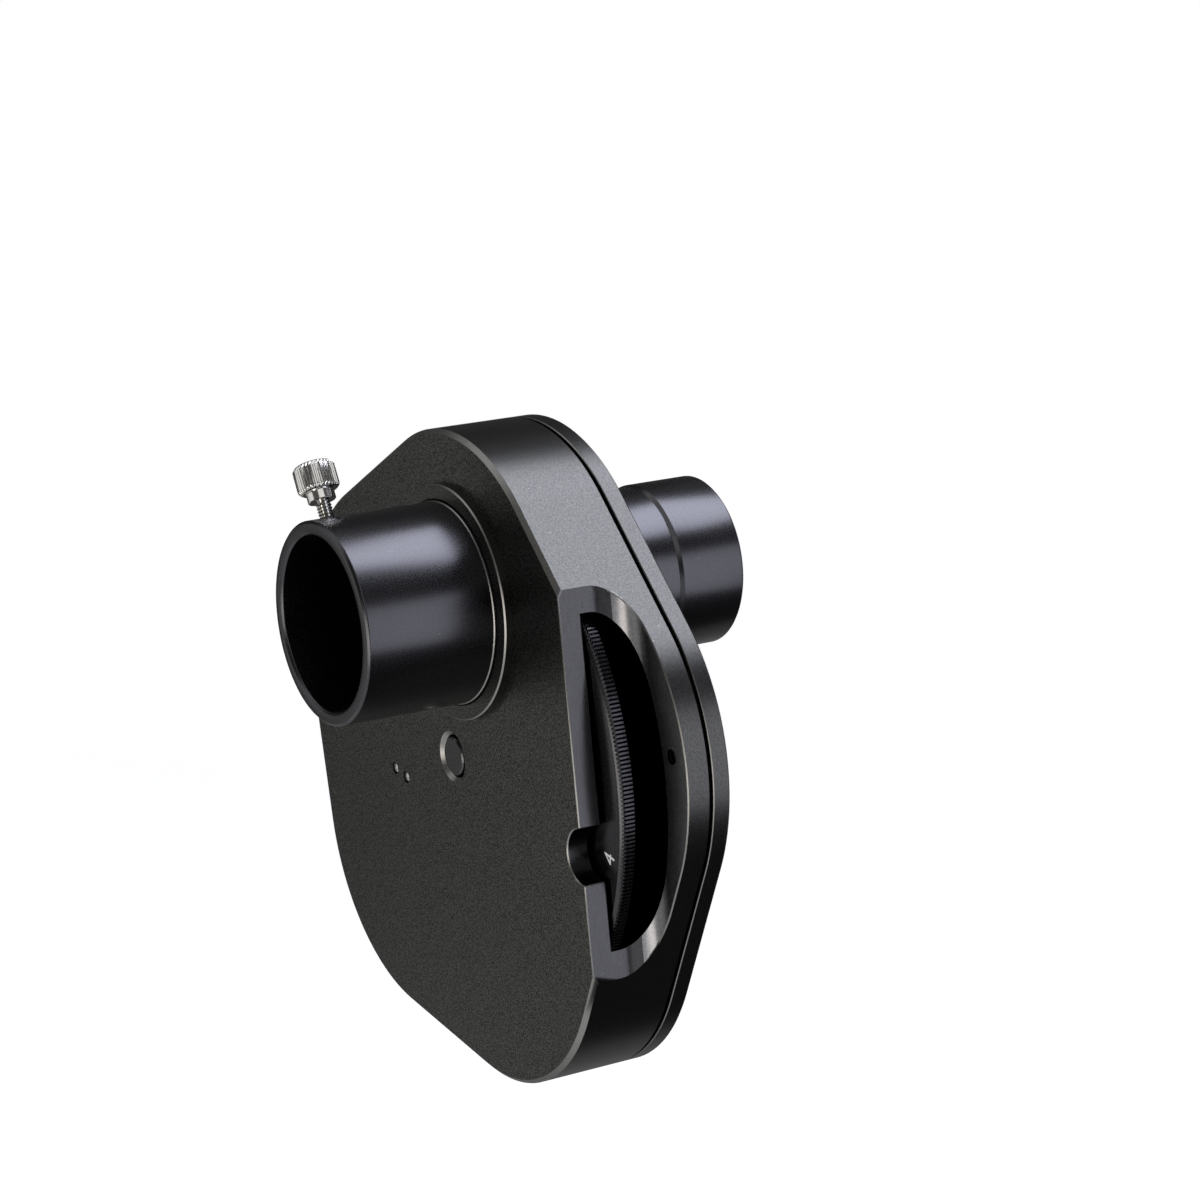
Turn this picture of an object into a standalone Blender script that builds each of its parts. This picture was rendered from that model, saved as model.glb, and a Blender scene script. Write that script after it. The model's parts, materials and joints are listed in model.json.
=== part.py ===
"""Manual filter wheel: five threaded seats on a knurled carousel in a two-part body.

Every piece is drawn as seen from the eyepiece side: x to the right, y up and z
towards the eyepiece. Empties turn that drawing frame into the part's frame, where
Y runs along the light path and Z is up. Height z = 0 is the shoulder of the
nosepiece, and the part is held there.
"""
import math

import bmesh
import bpy
from mathutils import Euler, Matrix, Vector

MM = 0.001

# Clearances
SEAT_GAP = 0.3 * MM
SCREW_GAP = 0.15 * MM
RUNNING_GAP = 0.1 * MM

# Carousel layout: the webs between the seats set the circle that they lie on
POSITIONS = 5
STEP = 2.0 * math.pi / POSITIONS
PORT_ANGLE = STEP
SEAT_BORE_RADIUS = 14.0 * MM
SEAT_WEB = 7.855 * MM
SEAT_CHAMFER = 0.4 * MM
SEAT_CIRCLE = (SEAT_BORE_RADIUS + SEAT_WEB / 2.0) / math.sin(STEP / 2.0)

# Carousel
RIM_WIDTH = 7.4 * MM
WHEEL_RADIUS = SEAT_CIRCLE + SEAT_BORE_RADIUS + RIM_WIDTH
WHEEL_THICKNESS = 3.4 * MM
WHEEL_GAP = 0.8 * MM
WHEEL_CHAMFER = 0.6 * MM
RIB_COUNT = 100
RIB_HEIGHT = 0.35 * MM

# Axle, bushing, hub and washers, one round the other
JOURNAL_RADIUS = 4.0 * MM
BUSHING_WALL = 1.5 * MM
BUSHING_RADIUS = JOURNAL_RADIUS + RUNNING_GAP + BUSHING_WALL
HUB_WALL = 3.1 * MM
HUB_RADIUS = BUSHING_RADIUS + SEAT_GAP + HUB_WALL
WASHER_WIDTH = 3.3 * MM
WASHER_RADIUS = JOURNAL_RADIUS + WASHER_WIDTH
WASHER_THICKNESS = 0.5 * MM
HUB_POCKET_ROOM = 0.5 * MM
HUB_POCKET_RADIUS = WASHER_RADIUS + HUB_POCKET_ROOM
HUB_POCKET_DEPTH = 1.8 * MM
AXLE_FLANGE_STEP = 2.5 * MM
AXLE_FLANGE_RADIUS = JOURNAL_RADIUS + AXLE_FLANGE_STEP
AXLE_FLANGE = 1.2 * MM
AXLE_END_RADIUS = 3.6 * MM
AXLE_END_RECESS = 0.15 * MM
AXLE_HOLE_CHAMFER = 1.2 * MM
SPIGOT_STEP = 1.5 * MM
SPIGOT_RADIUS = JOURNAL_RADIUS - SPIGOT_STEP
SPIGOT_LENGTH = 3.0 * MM
CLIP_WIDTH = 2.0 * MM
CLIP_RADIUS = JOURNAL_RADIUS + CLIP_WIDTH
CLIP_THICKNESS = 0.6 * MM
CLIP_ROOM = 1.0 * MM
GROOVE_DEPTH = 0.8 * MM
GROOVE_GAP = 0.1 * MM
LUG_DEPTH = 1.1 * MM

# Body outline: a pentagon with large round corners, a wall's width outside the cavity
RIM_GAP = 2.3 * MM
SIDE_WALL = 2.67 * MM
CAVITY_RADIUS = WHEEL_RADIUS + RIM_GAP
CORNER_RADIUS = 36.4 * MM
CORNER_REACH = (CAVITY_RADIUS + SIDE_WALL - CORNER_RADIUS) / math.cos(STEP / 2.0)
CORNER_STEPS = 9
BODY_CHAMFER = 0.8 * MM
SEAM_CHAMFER = 0.3 * MM

# Depths of the body, from the nosepiece side to the eyepiece side
FLANGE_THICKNESS = 2.6 * MM
COVER_THICKNESS = 3.5 * MM
SEAM_WIDTH = 0.6 * MM
SHELL_DEPTH = 17.35 * MM
FRONT_WALL = 4.2 * MM

# Finger pocket, turned a little about the axle, so that it bares the carousel's rim
POCKET_TURN = math.radians(-4.7)
RIM_SHOWN = 6.65 * MM
POCKET_REACH = WHEEL_RADIUS - RIM_SHOWN
POCKET_DEPTH = 12.75 * MM
POCKET_FILLET = 7.0 * MM
NOTCH_RADIUS = 5.05 * MM
NOTCH_OFFSET = -12.35 * MM

# Rear cover
LAND_INSET = 1.4 * MM
REGISTER_WIDTH = 2.5 * MM
REGISTER_HEIGHT = 1.6 * MM
COVER_CHAMFER = 0.4 * MM
BOSS_WALL = 4.0 * MM
BOSS_RADIUS = SPIGOT_RADIUS + BOSS_WALL
BOSS_HEIGHT = 0.9 * MM

# Cover screws, in the metal between the cavity and the corners
SCREW_INSET = 3.1 * MM
SCREW_CIRCLE = CAVITY_RADIUS + SCREW_INSET
SCREW_RADIUS = 1.25 * MM
SCREW_HEAD_RADIUS = 2.25 * MM
SCREW_LENGTH = 7.5 * MM
SCREW_HOLE_DEPTH = 9.0 * MM

# Detent leaf, fixed by two screws whose tips show in the front face
DETENT_SHIFT = 3.0 * MM
DETENT_CIRCLE = SEAT_CIRCLE + DETENT_SHIFT
DETENT_ANGLE = math.pi
LEAF_TURN = math.radians(-20.0)
LEAF_THICKNESS = 0.3 * MM
LEAF_WIDTH = 4.2 * MM
LEAF_TIP_WIDTH = 3.2 * MM
LEAF_TIP = 1.8 * MM
LEAF_LENGTH = 16.6 * MM
LEAF_CLAMP_LENGTH = 9.0 * MM
LEAF_CLAMP_START = LEAF_LENGTH - LEAF_CLAMP_LENGTH
LEAF_DROP = 1.0 * MM
LEAF_RECESS_DEPTH = 1.7 * MM
LEAF_RECESS_MARGIN = 0.7 * MM
LEAF_SCREW_INSET = 2.6 * MM
LEAF_SCREW_PITCH = 4.5 * MM
LEAF_SCREW_PLACES = (LEAF_LENGTH - LEAF_SCREW_INSET - LEAF_SCREW_PITCH,
                     LEAF_LENGTH - LEAF_SCREW_INSET)
LEAF_SCREW_RADIUS = 1.0 * MM
LEAF_SCREW_HEAD_RADIUS = 1.9 * MM
LEAF_SCREW_HEAD = 0.9 * MM
LEAF_SCREW_RECESS = 0.25 * MM
BUMP_RADIUS = 1.5 * MM
BUMP_ENTRY = 0.35 * MM

# Eyepiece holder
HOLDER_BORE_RADIUS = 15.95 * MM
HOLDER_WALL = 2.55 * MM
HOLDER_RADIUS = HOLDER_BORE_RADIUS + HOLDER_WALL
HOLDER_LENGTH = 27.15 * MM
HOLDER_LIP = 0.5 * MM

# Ring boss and port in the front wall, round the holder
RING_WALL = 2.9 * MM
RING_RADIUS = HOLDER_RADIUS + SEAT_GAP + RING_WALL
RING_HEIGHT = 1.75 * MM
RING_CHAMFER = 0.6 * MM
PORT_COUNTERBORE = 1.95 * MM
PORT_LEDGE = 1.5 * MM

# Thumbscrew in the eyepiece holder
THUMBSCREW_ANGLE = math.radians(108.0)
THUMBSCREW_PLACE = 7.0 * MM
THUMBSCREW_RADIUS = 1.5 * MM
THUMBSCREW_TIP_GAP = 0.25 * MM
THUMBSCREW_EXPOSED = 3.8 * MM
COLLAR_STEP = 1.1 * MM
COLLAR_RADIUS = THUMBSCREW_RADIUS + COLLAR_STEP
COLLAR_LENGTH = 1.8 * MM
HEAD_RADIUS = 3.9 * MM
HEAD_LENGTH = 5.3 * MM
HEAD_CHAMFER = 0.5 * MM
HEAD_RIBS = 24
HEAD_RIB_HEIGHT = 0.4 * MM

# Nosepiece
BARREL_BORE_RADIUS = 13.2 * MM
BARREL_WALL = 2.67 * MM
BARREL_RADIUS = BARREL_BORE_RADIUS + BARREL_WALL
BARREL_LENGTH = 28.0 * MM
BARREL_THREAD_STEP = 0.9 * MM
BARREL_THREAD_RADIUS = BARREL_BORE_RADIUS + BARREL_THREAD_STEP
BARREL_THREAD_LENGTH = 4.0 * MM
UNDERCUT_DEPTH = 0.4 * MM
UNDERCUT_START = 5.0 * MM
UNDERCUT_LENGTH = 10.0 * MM
NOSE_SPIGOT_STEP = 1.83 * MM
NOSE_SPIGOT_RADIUS = BARREL_RADIUS + NOSE_SPIGOT_STEP
FLANGE_WIDTH = 3.3 * MM
FLANGE_RADIUS = NOSE_SPIGOT_RADIUS + FLANGE_WIDTH

# Facets round a full turn
FINE_TURN = 60
TURN = 32
SMALL_TURN = 16
SLOT_STEPS = 8
AXIS_MARK = 10.0 * MM

# Heights worked out from the sizes above
SHOULDER_Z = 0.0
COVER_REAR_Z = SHOULDER_Z + FLANGE_THICKNESS + SEAT_GAP
COVER_FRONT_Z = COVER_REAR_Z + COVER_THICKNESS
SHELL_REAR_Z = COVER_FRONT_Z + SEAM_WIDTH
LAND_Z = SHELL_REAR_Z - SEAT_GAP
FRONT_Z = SHELL_REAR_Z + SHELL_DEPTH
RING_Z = FRONT_Z + RING_HEIGHT
WALL_Z = FRONT_Z - FRONT_WALL
WHEEL_FRONT_Z = WALL_Z - WHEEL_GAP
WHEEL_REAR_Z = WHEEL_FRONT_Z - WHEEL_THICKNESS
HUB_FACE_Z = WHEEL_FRONT_Z - HUB_POCKET_DEPTH
BOSS_Z = COVER_FRONT_Z + BOSS_HEIGHT
HUB_REAR_Z = BOSS_Z + CLIP_ROOM + CLIP_THICKNESS + SEAT_GAP + WASHER_THICKNESS + SEAT_GAP
HOLDER_FRONT_Z = FRONT_Z + HOLDER_LENGTH
HOLDER_SEAT_Z = FRONT_Z - PORT_COUNTERBORE
HOLDER_REAR_Z = WALL_Z + SEAT_GAP
PAST = 2.0 * MM

COLOURS = {
    "blasted_black": ((0.022, 0.021, 0.020), 0.55, 0.85),
    "satin_black": ((0.025, 0.025, 0.030), 0.32, 0.90),
    "machined_black": ((0.020, 0.020, 0.022), 0.40, 0.90),
    "nickel": ((0.62, 0.61, 0.59), 0.18, 1.00),
    "steel": ((0.45, 0.45, 0.46), 0.30, 1.00),
    "spring_steel": ((0.36, 0.37, 0.40), 0.25, 1.00),
    "black_steel": ((0.030, 0.030, 0.032), 0.38, 1.00),
    "brass": ((0.60, 0.42, 0.16), 0.30, 1.00),
    "nylon": ((0.78, 0.77, 0.72), 0.50, 0.00),
}


def polar(radius, angle):
    return Vector((radius * math.cos(angle), radius * math.sin(angle)))


def add_material(name, finish):
    colour, roughness, metallic = COLOURS[finish]
    material = bpy.data.materials.new(name)
    material.use_nodes = True
    shader = material.node_tree.nodes["Principled BSDF"]
    shader.inputs["Base Color"].default_value = (*colour, 1.0)
    shader.inputs["Roughness"].default_value = roughness
    shader.inputs["Metallic"].default_value = metallic
    material.diffuse_color = (*colour, 1.0)
    return material


def add_axis(name, location, rotation):
    """An empty whose local Z runs along an axis of the part."""
    axis = bpy.data.objects.new(name, None)
    axis.location = location
    axis.rotation_euler = rotation
    axis.empty_display_size = AXIS_MARK
    parts.objects.link(axis)
    return axis


def add_object(name, mesh, parent, finish=None):
    """Links a mesh under an axis, as a part with a finish or as a cutter without one."""
    item = bpy.data.objects.new(name, mesh)
    item.parent = parent
    if finish:
        parts.objects.link(item)
        mesh.materials.append(add_material(name + "_finish", finish))
    else:
        cutters.objects.link(item)
        item.hide_render = True
        item.display_type = "WIRE"
    return item


def settled_mesh(item):
    """The mesh of an object with its modifiers or its curve worked out."""
    bpy.context.view_layer.update()
    graph = bpy.context.evaluated_depsgraph_get()
    return bpy.data.meshes.new_from_object(item.evaluated_get(graph))


def turned(name, profile, steps, parent, finish=None, closed=False):
    """Turns a profile of (radius, height) points about the axis.

    The profile runs down the outer side; a closed one comes back up the bore.
    """
    mesh = bpy.data.meshes.new(name)
    count = len(profile)
    edges = [(i, i + 1) for i in range(count - 1)]
    if closed:
        edges.append((count - 1, 0))
    mesh.from_pydata([(radius, 0.0, height) for radius, height in profile], edges, [])
    item = add_object(name, mesh, parent, finish)
    turn = item.modifiers.new("turn", "SCREW")
    turn.axis = "Z"
    turn.steps = steps
    turn.render_steps = steps
    turn.use_merge_vertices = True
    turn.merge_threshold = 0.00001
    return item


def ring_profile(outer, inner, low, high):
    """A plain ring between two radii and two heights."""
    return [(outer, high), (outer, low), (inner, low), (inner, high)]


def rod_profile(radius, low, high):
    return [(0.0, high), (radius, high), (radius, low), (0.0, low)]


def plate(name, points, low, high, parent, finish=None, top_chamfer=0.0, low_chamfer=0.0):
    """A flat outline raised from one height to another, with chamfered rims."""
    outline = bpy.data.curves.new(name, "CURVE")
    outline.dimensions = "2D"
    outline.fill_mode = "BOTH"
    outline.extrude = (high - low) / 2.0
    spline = outline.splines.new("POLY")
    spline.points.add(len(points) - 1)
    for point, place in zip(spline.points, points):
        point.co = (place[0], place[1], 0.0, 1.0)
    spline.use_cyclic_u = True
    guide = bpy.data.objects.new(name + "_outline", outline)
    cutters.objects.link(guide)
    mesh = settled_mesh(guide)
    bpy.data.objects.remove(guide)
    bpy.data.curves.remove(outline)

    form = bmesh.new()
    form.from_mesh(mesh)
    bmesh.ops.remove_doubles(form, verts=form.verts, dist=0.00001)
    bmesh.ops.dissolve_limit(form, angle_limit=0.001, verts=form.verts, edges=form.edges)
    bmesh.ops.translate(form, verts=form.verts, vec=(0.0, 0.0, (high + low) / 2.0))
    for height, chamfer in ((high, top_chamfer), (low, low_chamfer)):
        if chamfer:
            rim = [edge for edge in form.edges
                   if all(abs(vert.co.z - height) < 0.000001 for vert in edge.verts)]
            bmesh.ops.bevel(form, geom=rim, offset=chamfer, segments=1,
                            profile=0.5, affect="EDGES")
    bmesh.ops.recalc_face_normals(form, faces=form.faces)
    form.to_mesh(mesh)
    form.free()
    mesh.name = name
    return add_object(name, mesh, parent, finish)


def arc_points(centre, radius, start, end, steps):
    """Points along an arc, both ends included."""
    centre = Vector(centre)
    return [centre + polar(radius, start + (end - start) * i / steps) for i in range(steps + 1)]


def body_outline(inset=0.0):
    """The pentagon with round corners, one corner straight to the right of the axle."""
    points = []
    for corner in range(POSITIONS):
        middle = corner * STEP
        points += arc_points(polar(CORNER_REACH, middle), CORNER_RADIUS - inset,
                             middle - STEP / 2.0, middle + STEP / 2.0, CORNER_STEPS)
    return points


def ribbed_outline(radius, height, count):
    """A round outline with straight V ribs."""
    points = []
    for rib in range(count):
        points.append(polar(radius, 2.0 * math.pi * rib / count))
        points.append(polar(radius - height, 2.0 * math.pi * (rib + 0.5) / count))
    return points


def slot_outline(start, end, half_width):
    """A slot with round ends along x."""
    return (arc_points((end - half_width, 0.0), half_width, -math.pi / 2, math.pi / 2,
                       SLOT_STEPS)
            + arc_points((start + half_width, 0.0), half_width, math.pi / 2,
                         1.5 * math.pi, SLOT_STEPS))


def place(item, centre, turn=0.0):
    """Moves a piece sideways in the drawing and turns it about its own axis."""
    item.location = (centre[0], centre[1], 0.0)
    item.rotation_euler = (0.0, 0.0, turn)
    return item


def combine(target, tool, operation="DIFFERENCE"):
    change = target.modifiers.new(tool.name, "BOOLEAN")
    change.operation = operation
    change.solver = "EXACT"
    change.object = tool


def settle(item, sharp_angle=30.0):
    """Turns the modifiers into the mesh and shades its round faces smooth."""
    mesh = settled_mesh(item)
    item.modifiers.clear()
    item.data = mesh
    mesh.name = item.name
    mesh.shade_smooth()
    mesh.set_sharp_from_angle(angle=math.radians(sharp_angle))


def build_front_housing():
    shell = plate("front_housing", body_outline(), SHELL_REAR_Z, FRONT_Z, axle_axis,
                  "blasted_black", BODY_CHAMFER, SEAM_CHAMFER)
    port = polar(SEAT_CIRCLE, PORT_ANGLE)

    ring = turned("ring_boss_form", [
        (0.0, RING_Z), (RING_RADIUS - RING_CHAMFER, RING_Z), (RING_RADIUS, RING_Z - RING_CHAMFER),
        (RING_RADIUS, FRONT_Z - PAST), (0.0, FRONT_Z - PAST)], FINE_TURN, axle_axis)
    combine(shell, place(ring, port), "UNION")

    cavity = turned("cavity_cutter", rod_profile(CAVITY_RADIUS, SHELL_REAR_Z - PAST, WALL_Z),
                    FINE_TURN, axle_axis)
    combine(shell, cavity)

    counterbore = HOLDER_RADIUS + SEAT_GAP
    ledge = HOLDER_RADIUS - PORT_LEDGE + SEAT_GAP
    port_hole = turned("port_cutter", [
        (0.0, RING_Z + PAST), (counterbore, RING_Z + PAST), (counterbore, HOLDER_SEAT_Z),
        (ledge, HOLDER_SEAT_Z), (ledge, WALL_Z - PAST), (0.0, WALL_Z - PAST)],
        FINE_TURN, axle_axis)
    combine(shell, place(port_hole, port))

    hole = AXLE_END_RADIUS + SEAT_GAP
    axle_hole = turned("axle_hole_cutter", [
        (0.0, FRONT_Z + PAST), (hole + AXLE_HOLE_CHAMFER + PAST, FRONT_Z + PAST),
        (hole, FRONT_Z - AXLE_HOLE_CHAMFER), (hole, WALL_Z - PAST), (0.0, WALL_Z - PAST)],
        TURN, axle_axis)
    combine(shell, axle_hole)

    combine(shell, build_pocket_cutter())
    notch = turned("notch_cutter", rod_profile(NOTCH_RADIUS, WALL_Z - PAST / 4, FRONT_Z + PAST),
                   TURN, axle_axis)
    along = polar(1.0, POCKET_TURN)
    across = polar(1.0, POCKET_TURN + math.pi / 2)
    combine(shell, place(notch, along * POCKET_REACH + across * NOTCH_OFFSET))

    half_width = LEAF_WIDTH / 2 + LEAF_RECESS_MARGIN
    recess = plate("leaf_recess_cutter",
                   slot_outline(-LEAF_TIP - half_width, LEAF_LENGTH + half_width, half_width),
                   WALL_Z - PAST / 4, WALL_Z + LEAF_RECESS_DEPTH, axle_axis)
    combine(shell, place(recess, leaf_nose(), LEAF_TURN))
    for number, reach in enumerate(LEAF_SCREW_PLACES, 1):
        hole = turned(f"leaf_screw_cutter_{number}",
                      rod_profile(LEAF_SCREW_RADIUS + SCREW_GAP, WALL_Z, FRONT_Z + PAST),
                      SMALL_TURN, axle_axis)
        combine(shell, place(hole, leaf_nose() + polar(reach, LEAF_TURN)))
    for number in range(POSITIONS):
        hole = turned(f"tapped_hole_cutter_{number + 1}",
                      rod_profile(SCREW_RADIUS + SCREW_GAP, SHELL_REAR_Z - PAST,
                                  SHELL_REAR_Z + SCREW_HOLE_DEPTH), SMALL_TURN, axle_axis)
        combine(shell, place(hole, polar(SCREW_CIRCLE, number * STEP)))
    return shell


def build_pocket_cutter():
    """The finger pocket: a flat floor, a rounded corner and a flat rear wall."""
    floor = POCKET_REACH
    rear = FRONT_Z - POCKET_DEPTH
    far = CORNER_REACH + CORNER_RADIUS + PAST
    half_length = CORNER_REACH + CORNER_RADIUS
    corner = arc_points((floor + POCKET_FILLET, rear + POCKET_FILLET), POCKET_FILLET,
                        math.pi, 1.5 * math.pi, 10)
    points = [(floor, FRONT_Z + PAST)] + corner + [(far, rear), (far, FRONT_Z + PAST)]
    pocket = plate("pocket_cutter", points, -half_length, half_length, axle_axis)
    outward = Vector((math.cos(POCKET_TURN), math.sin(POCKET_TURN), 0.0))
    upward = Vector((0.0, 0.0, 1.0))
    turn = Matrix((outward, upward, outward.cross(upward))).transposed()
    pocket.rotation_euler = turn.to_euler()
    return pocket


def build_rear_cover():
    cover = plate("rear_cover", body_outline(), COVER_REAR_Z, COVER_FRONT_Z, axle_axis,
                  "blasted_black", SEAM_CHAMFER, COVER_CHAMFER)
    middle = (COVER_REAR_Z + COVER_FRONT_Z) / 2
    land = plate("land_form", body_outline(LAND_INSET), middle, LAND_Z, axle_axis)
    combine(cover, land, "UNION")
    outer = CAVITY_RADIUS - SEAT_GAP
    register = turned("register_form",
                      ring_profile(outer, outer - REGISTER_WIDTH, middle,
                                   COVER_FRONT_Z + REGISTER_HEIGHT),
                      FINE_TURN, axle_axis, closed=True)
    combine(cover, register, "UNION")
    boss = turned("axle_boss_form", rod_profile(BOSS_RADIUS, middle, BOSS_Z), TURN, axle_axis)
    combine(cover, boss, "UNION")

    spigot_hole = turned("spigot_cutter",
                         rod_profile(SPIGOT_RADIUS + SEAT_GAP,
                                     BOSS_Z - SPIGOT_LENGTH, BOSS_Z + PAST),
                         SMALL_TURN, axle_axis)
    combine(cover, spigot_hole)
    port_hole = turned("cover_port_cutter",
                       rod_profile(NOSE_SPIGOT_RADIUS + SEAT_GAP,
                                   COVER_REAR_Z - PAST, LAND_Z + PAST), FINE_TURN, axle_axis)
    combine(cover, place(port_hole, polar(SEAT_CIRCLE, PORT_ANGLE)))
    head_z = COVER_REAR_Z + SCREW_GAP
    grip_z = head_z + 0.2 * MM
    slope = SCREW_HEAD_RADIUS - SCREW_RADIUS
    for number in range(POSITIONS):
        hole = turned(f"countersink_cutter_{number + 1}", [
            (0.0, LAND_Z + PAST), (SCREW_RADIUS + SCREW_GAP, LAND_Z + PAST),
            (SCREW_RADIUS + SCREW_GAP, grip_z + slope),
            (SCREW_HEAD_RADIUS + SCREW_GAP, grip_z),
            (SCREW_HEAD_RADIUS + SCREW_GAP, COVER_REAR_Z - PAST),
            (0.0, COVER_REAR_Z - PAST)], SMALL_TURN, axle_axis)
        combine(cover, place(hole, polar(SCREW_CIRCLE, number * STEP)))
        screw = turned(f"cover_screw_{number + 1}", [
            (0.0, head_z + SCREW_LENGTH), (SCREW_RADIUS * 0.8, head_z + SCREW_LENGTH),
            (SCREW_RADIUS, head_z + SCREW_LENGTH - SCREW_RADIUS * 0.2),
            (SCREW_RADIUS, grip_z + slope), (SCREW_HEAD_RADIUS, grip_z),
            (SCREW_HEAD_RADIUS, head_z), (0.0, head_z)], SMALL_TURN, axle_axis, "black_steel")
        settle(place(screw, polar(SCREW_CIRCLE, number * STEP)))
    return cover


def build_carousel():
    """The filter carousel: ribbed rim, hub, five seats and a dimple for each position."""
    over = WHEEL_CHAMFER
    rim = WHEEL_RADIUS + over
    bore = BUSHING_RADIUS + SEAT_GAP
    wheel = turned("filter_carousel", [
        (HUB_POCKET_RADIUS, WHEEL_FRONT_Z), (rim - WHEEL_CHAMFER - over, WHEEL_FRONT_Z),
        (rim, WHEEL_FRONT_Z - WHEEL_CHAMFER - over), (rim, WHEEL_REAR_Z + WHEEL_CHAMFER + over),
        (rim - WHEEL_CHAMFER - over, WHEEL_REAR_Z), (HUB_RADIUS, WHEEL_REAR_Z),
        (HUB_RADIUS, HUB_REAR_Z), (bore, HUB_REAR_Z), (bore, HUB_FACE_Z),
        (HUB_POCKET_RADIUS, HUB_FACE_Z)], FINE_TURN, wheel_axis, "machined_black", closed=True)
    ribs = plate("rib_form", ribbed_outline(WHEEL_RADIUS, RIB_HEIGHT, RIB_COUNT),
                 HUB_REAR_Z - PAST, WHEEL_FRONT_Z + PAST, wheel_axis)
    combine(wheel, ribs, "INTERSECT")
    wide = SEAT_BORE_RADIUS + SEAT_CHAMFER + PAST
    seat_profile = [
        (0.0, WHEEL_FRONT_Z + PAST), (wide, WHEEL_FRONT_Z + PAST),
        (SEAT_BORE_RADIUS, WHEEL_FRONT_Z - SEAT_CHAMFER),
        (SEAT_BORE_RADIUS, WHEEL_REAR_Z + SEAT_CHAMFER),
        (wide, WHEEL_REAR_Z - PAST), (0.0, WHEEL_REAR_Z - PAST)]
    dimple_radius = BUMP_RADIUS + SEAT_GAP
    for number in range(POSITIONS):
        seat = turned(f"seat_cutter_{number + 1}", seat_profile, TURN, wheel_axis)
        combine(wheel, place(seat, polar(SEAT_CIRCLE, number * STEP)))
        dimple = ball(f"dimple_cutter_{number + 1}", dimple_radius,
                      bump_centre_z(), wheel_axis)
        combine(wheel, place(dimple, polar(DETENT_CIRCLE, DETENT_ANGLE + number * STEP)))
    settle(wheel)

    bushing = turned("hub_bushing",
                     ring_profile(BUSHING_RADIUS, JOURNAL_RADIUS + RUNNING_GAP,
                                  HUB_REAR_Z, HUB_FACE_Z),
                     TURN, wheel_axis, "brass", closed=True)
    settle(bushing)


def ball(name, radius, height, parent):
    form = bmesh.new()
    bmesh.ops.create_uvsphere(form, u_segments=24, v_segments=12, radius=radius,
                              matrix=Matrix.Translation((0.0, 0.0, height)))
    mesh = bpy.data.meshes.new(name)
    form.to_mesh(mesh)
    form.free()
    return add_object(name, mesh, parent)


def bump_centre_z():
    return WHEEL_FRONT_Z - BUMP_ENTRY + BUMP_RADIUS


def leaf_nose():
    return polar(DETENT_CIRCLE, DETENT_ANGLE)


def build_axle():
    """The axle with its two washers and its clip, all along the carousel's axis."""
    flange_z = WALL_Z - SEAT_GAP
    journal_z = flange_z - AXLE_FLANGE
    front_washer_z = journal_z - SEAT_GAP
    rear_washer_z = HUB_REAR_Z - SEAT_GAP - WASHER_THICKNESS
    clip_z = rear_washer_z - SEAT_GAP - CLIP_THICKNESS
    groove = JOURNAL_RADIUS - GROOVE_DEPTH
    tail_z = BOSS_Z + SEAT_GAP
    end_z = FRONT_Z - AXLE_END_RECESS
    axle = turned("wheel_axle", [
        (0.0, end_z), (AXLE_END_RADIUS - SEAT_GAP, end_z), (AXLE_END_RADIUS, end_z - SEAT_GAP),
        (AXLE_END_RADIUS, flange_z), (AXLE_FLANGE_RADIUS, flange_z),
        (AXLE_FLANGE_RADIUS, journal_z), (JOURNAL_RADIUS, journal_z),
        (JOURNAL_RADIUS, clip_z + CLIP_THICKNESS + GROOVE_GAP),
        (groove, clip_z + CLIP_THICKNESS + GROOVE_GAP), (groove, clip_z - GROOVE_GAP),
        (JOURNAL_RADIUS, clip_z - GROOVE_GAP), (JOURNAL_RADIUS, tail_z),
        (SPIGOT_RADIUS, tail_z), (SPIGOT_RADIUS, BOSS_Z - SPIGOT_LENGTH + SEAT_GAP),
        (0.0, BOSS_Z - SPIGOT_LENGTH + SEAT_GAP)], TURN, axle_axis, "satin_black")
    settle(axle)
    for name, low in (("front_thrust_washer", front_washer_z - WASHER_THICKNESS),
                      ("rear_thrust_washer", rear_washer_z)):
        washer = turned(name, ring_profile(WASHER_RADIUS, JOURNAL_RADIUS + SEAT_GAP,
                                           low, low + WASHER_THICKNESS),
                        TURN, axle_axis, "nylon", closed=True)
        settle(washer)

    seat = groove + SCREW_GAP
    relief = seat + LUG_DEPTH
    mouth = math.radians(38.0)
    lug = math.radians(16.0)
    points = arc_points((0, 0), CLIP_RADIUS, mouth, 2 * math.pi - mouth, 24)
    points += arc_points((0, 0), seat, 2 * math.pi - mouth, 2 * math.pi - mouth - lug, 3)
    points += arc_points((0, 0), relief, 2 * math.pi - mouth - lug, math.pi + lug, 8)
    points += arc_points((0, 0), seat, math.pi + lug, math.pi - lug, 4)
    points += arc_points((0, 0), relief, math.pi - lug, mouth + lug, 8)
    points += arc_points((0, 0), seat, mouth + lug, mouth, 3)
    clip = plate("axle_clip", points, clip_z, clip_z + CLIP_THICKNESS, axle_axis, "spring_steel")
    settle(clip)


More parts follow.
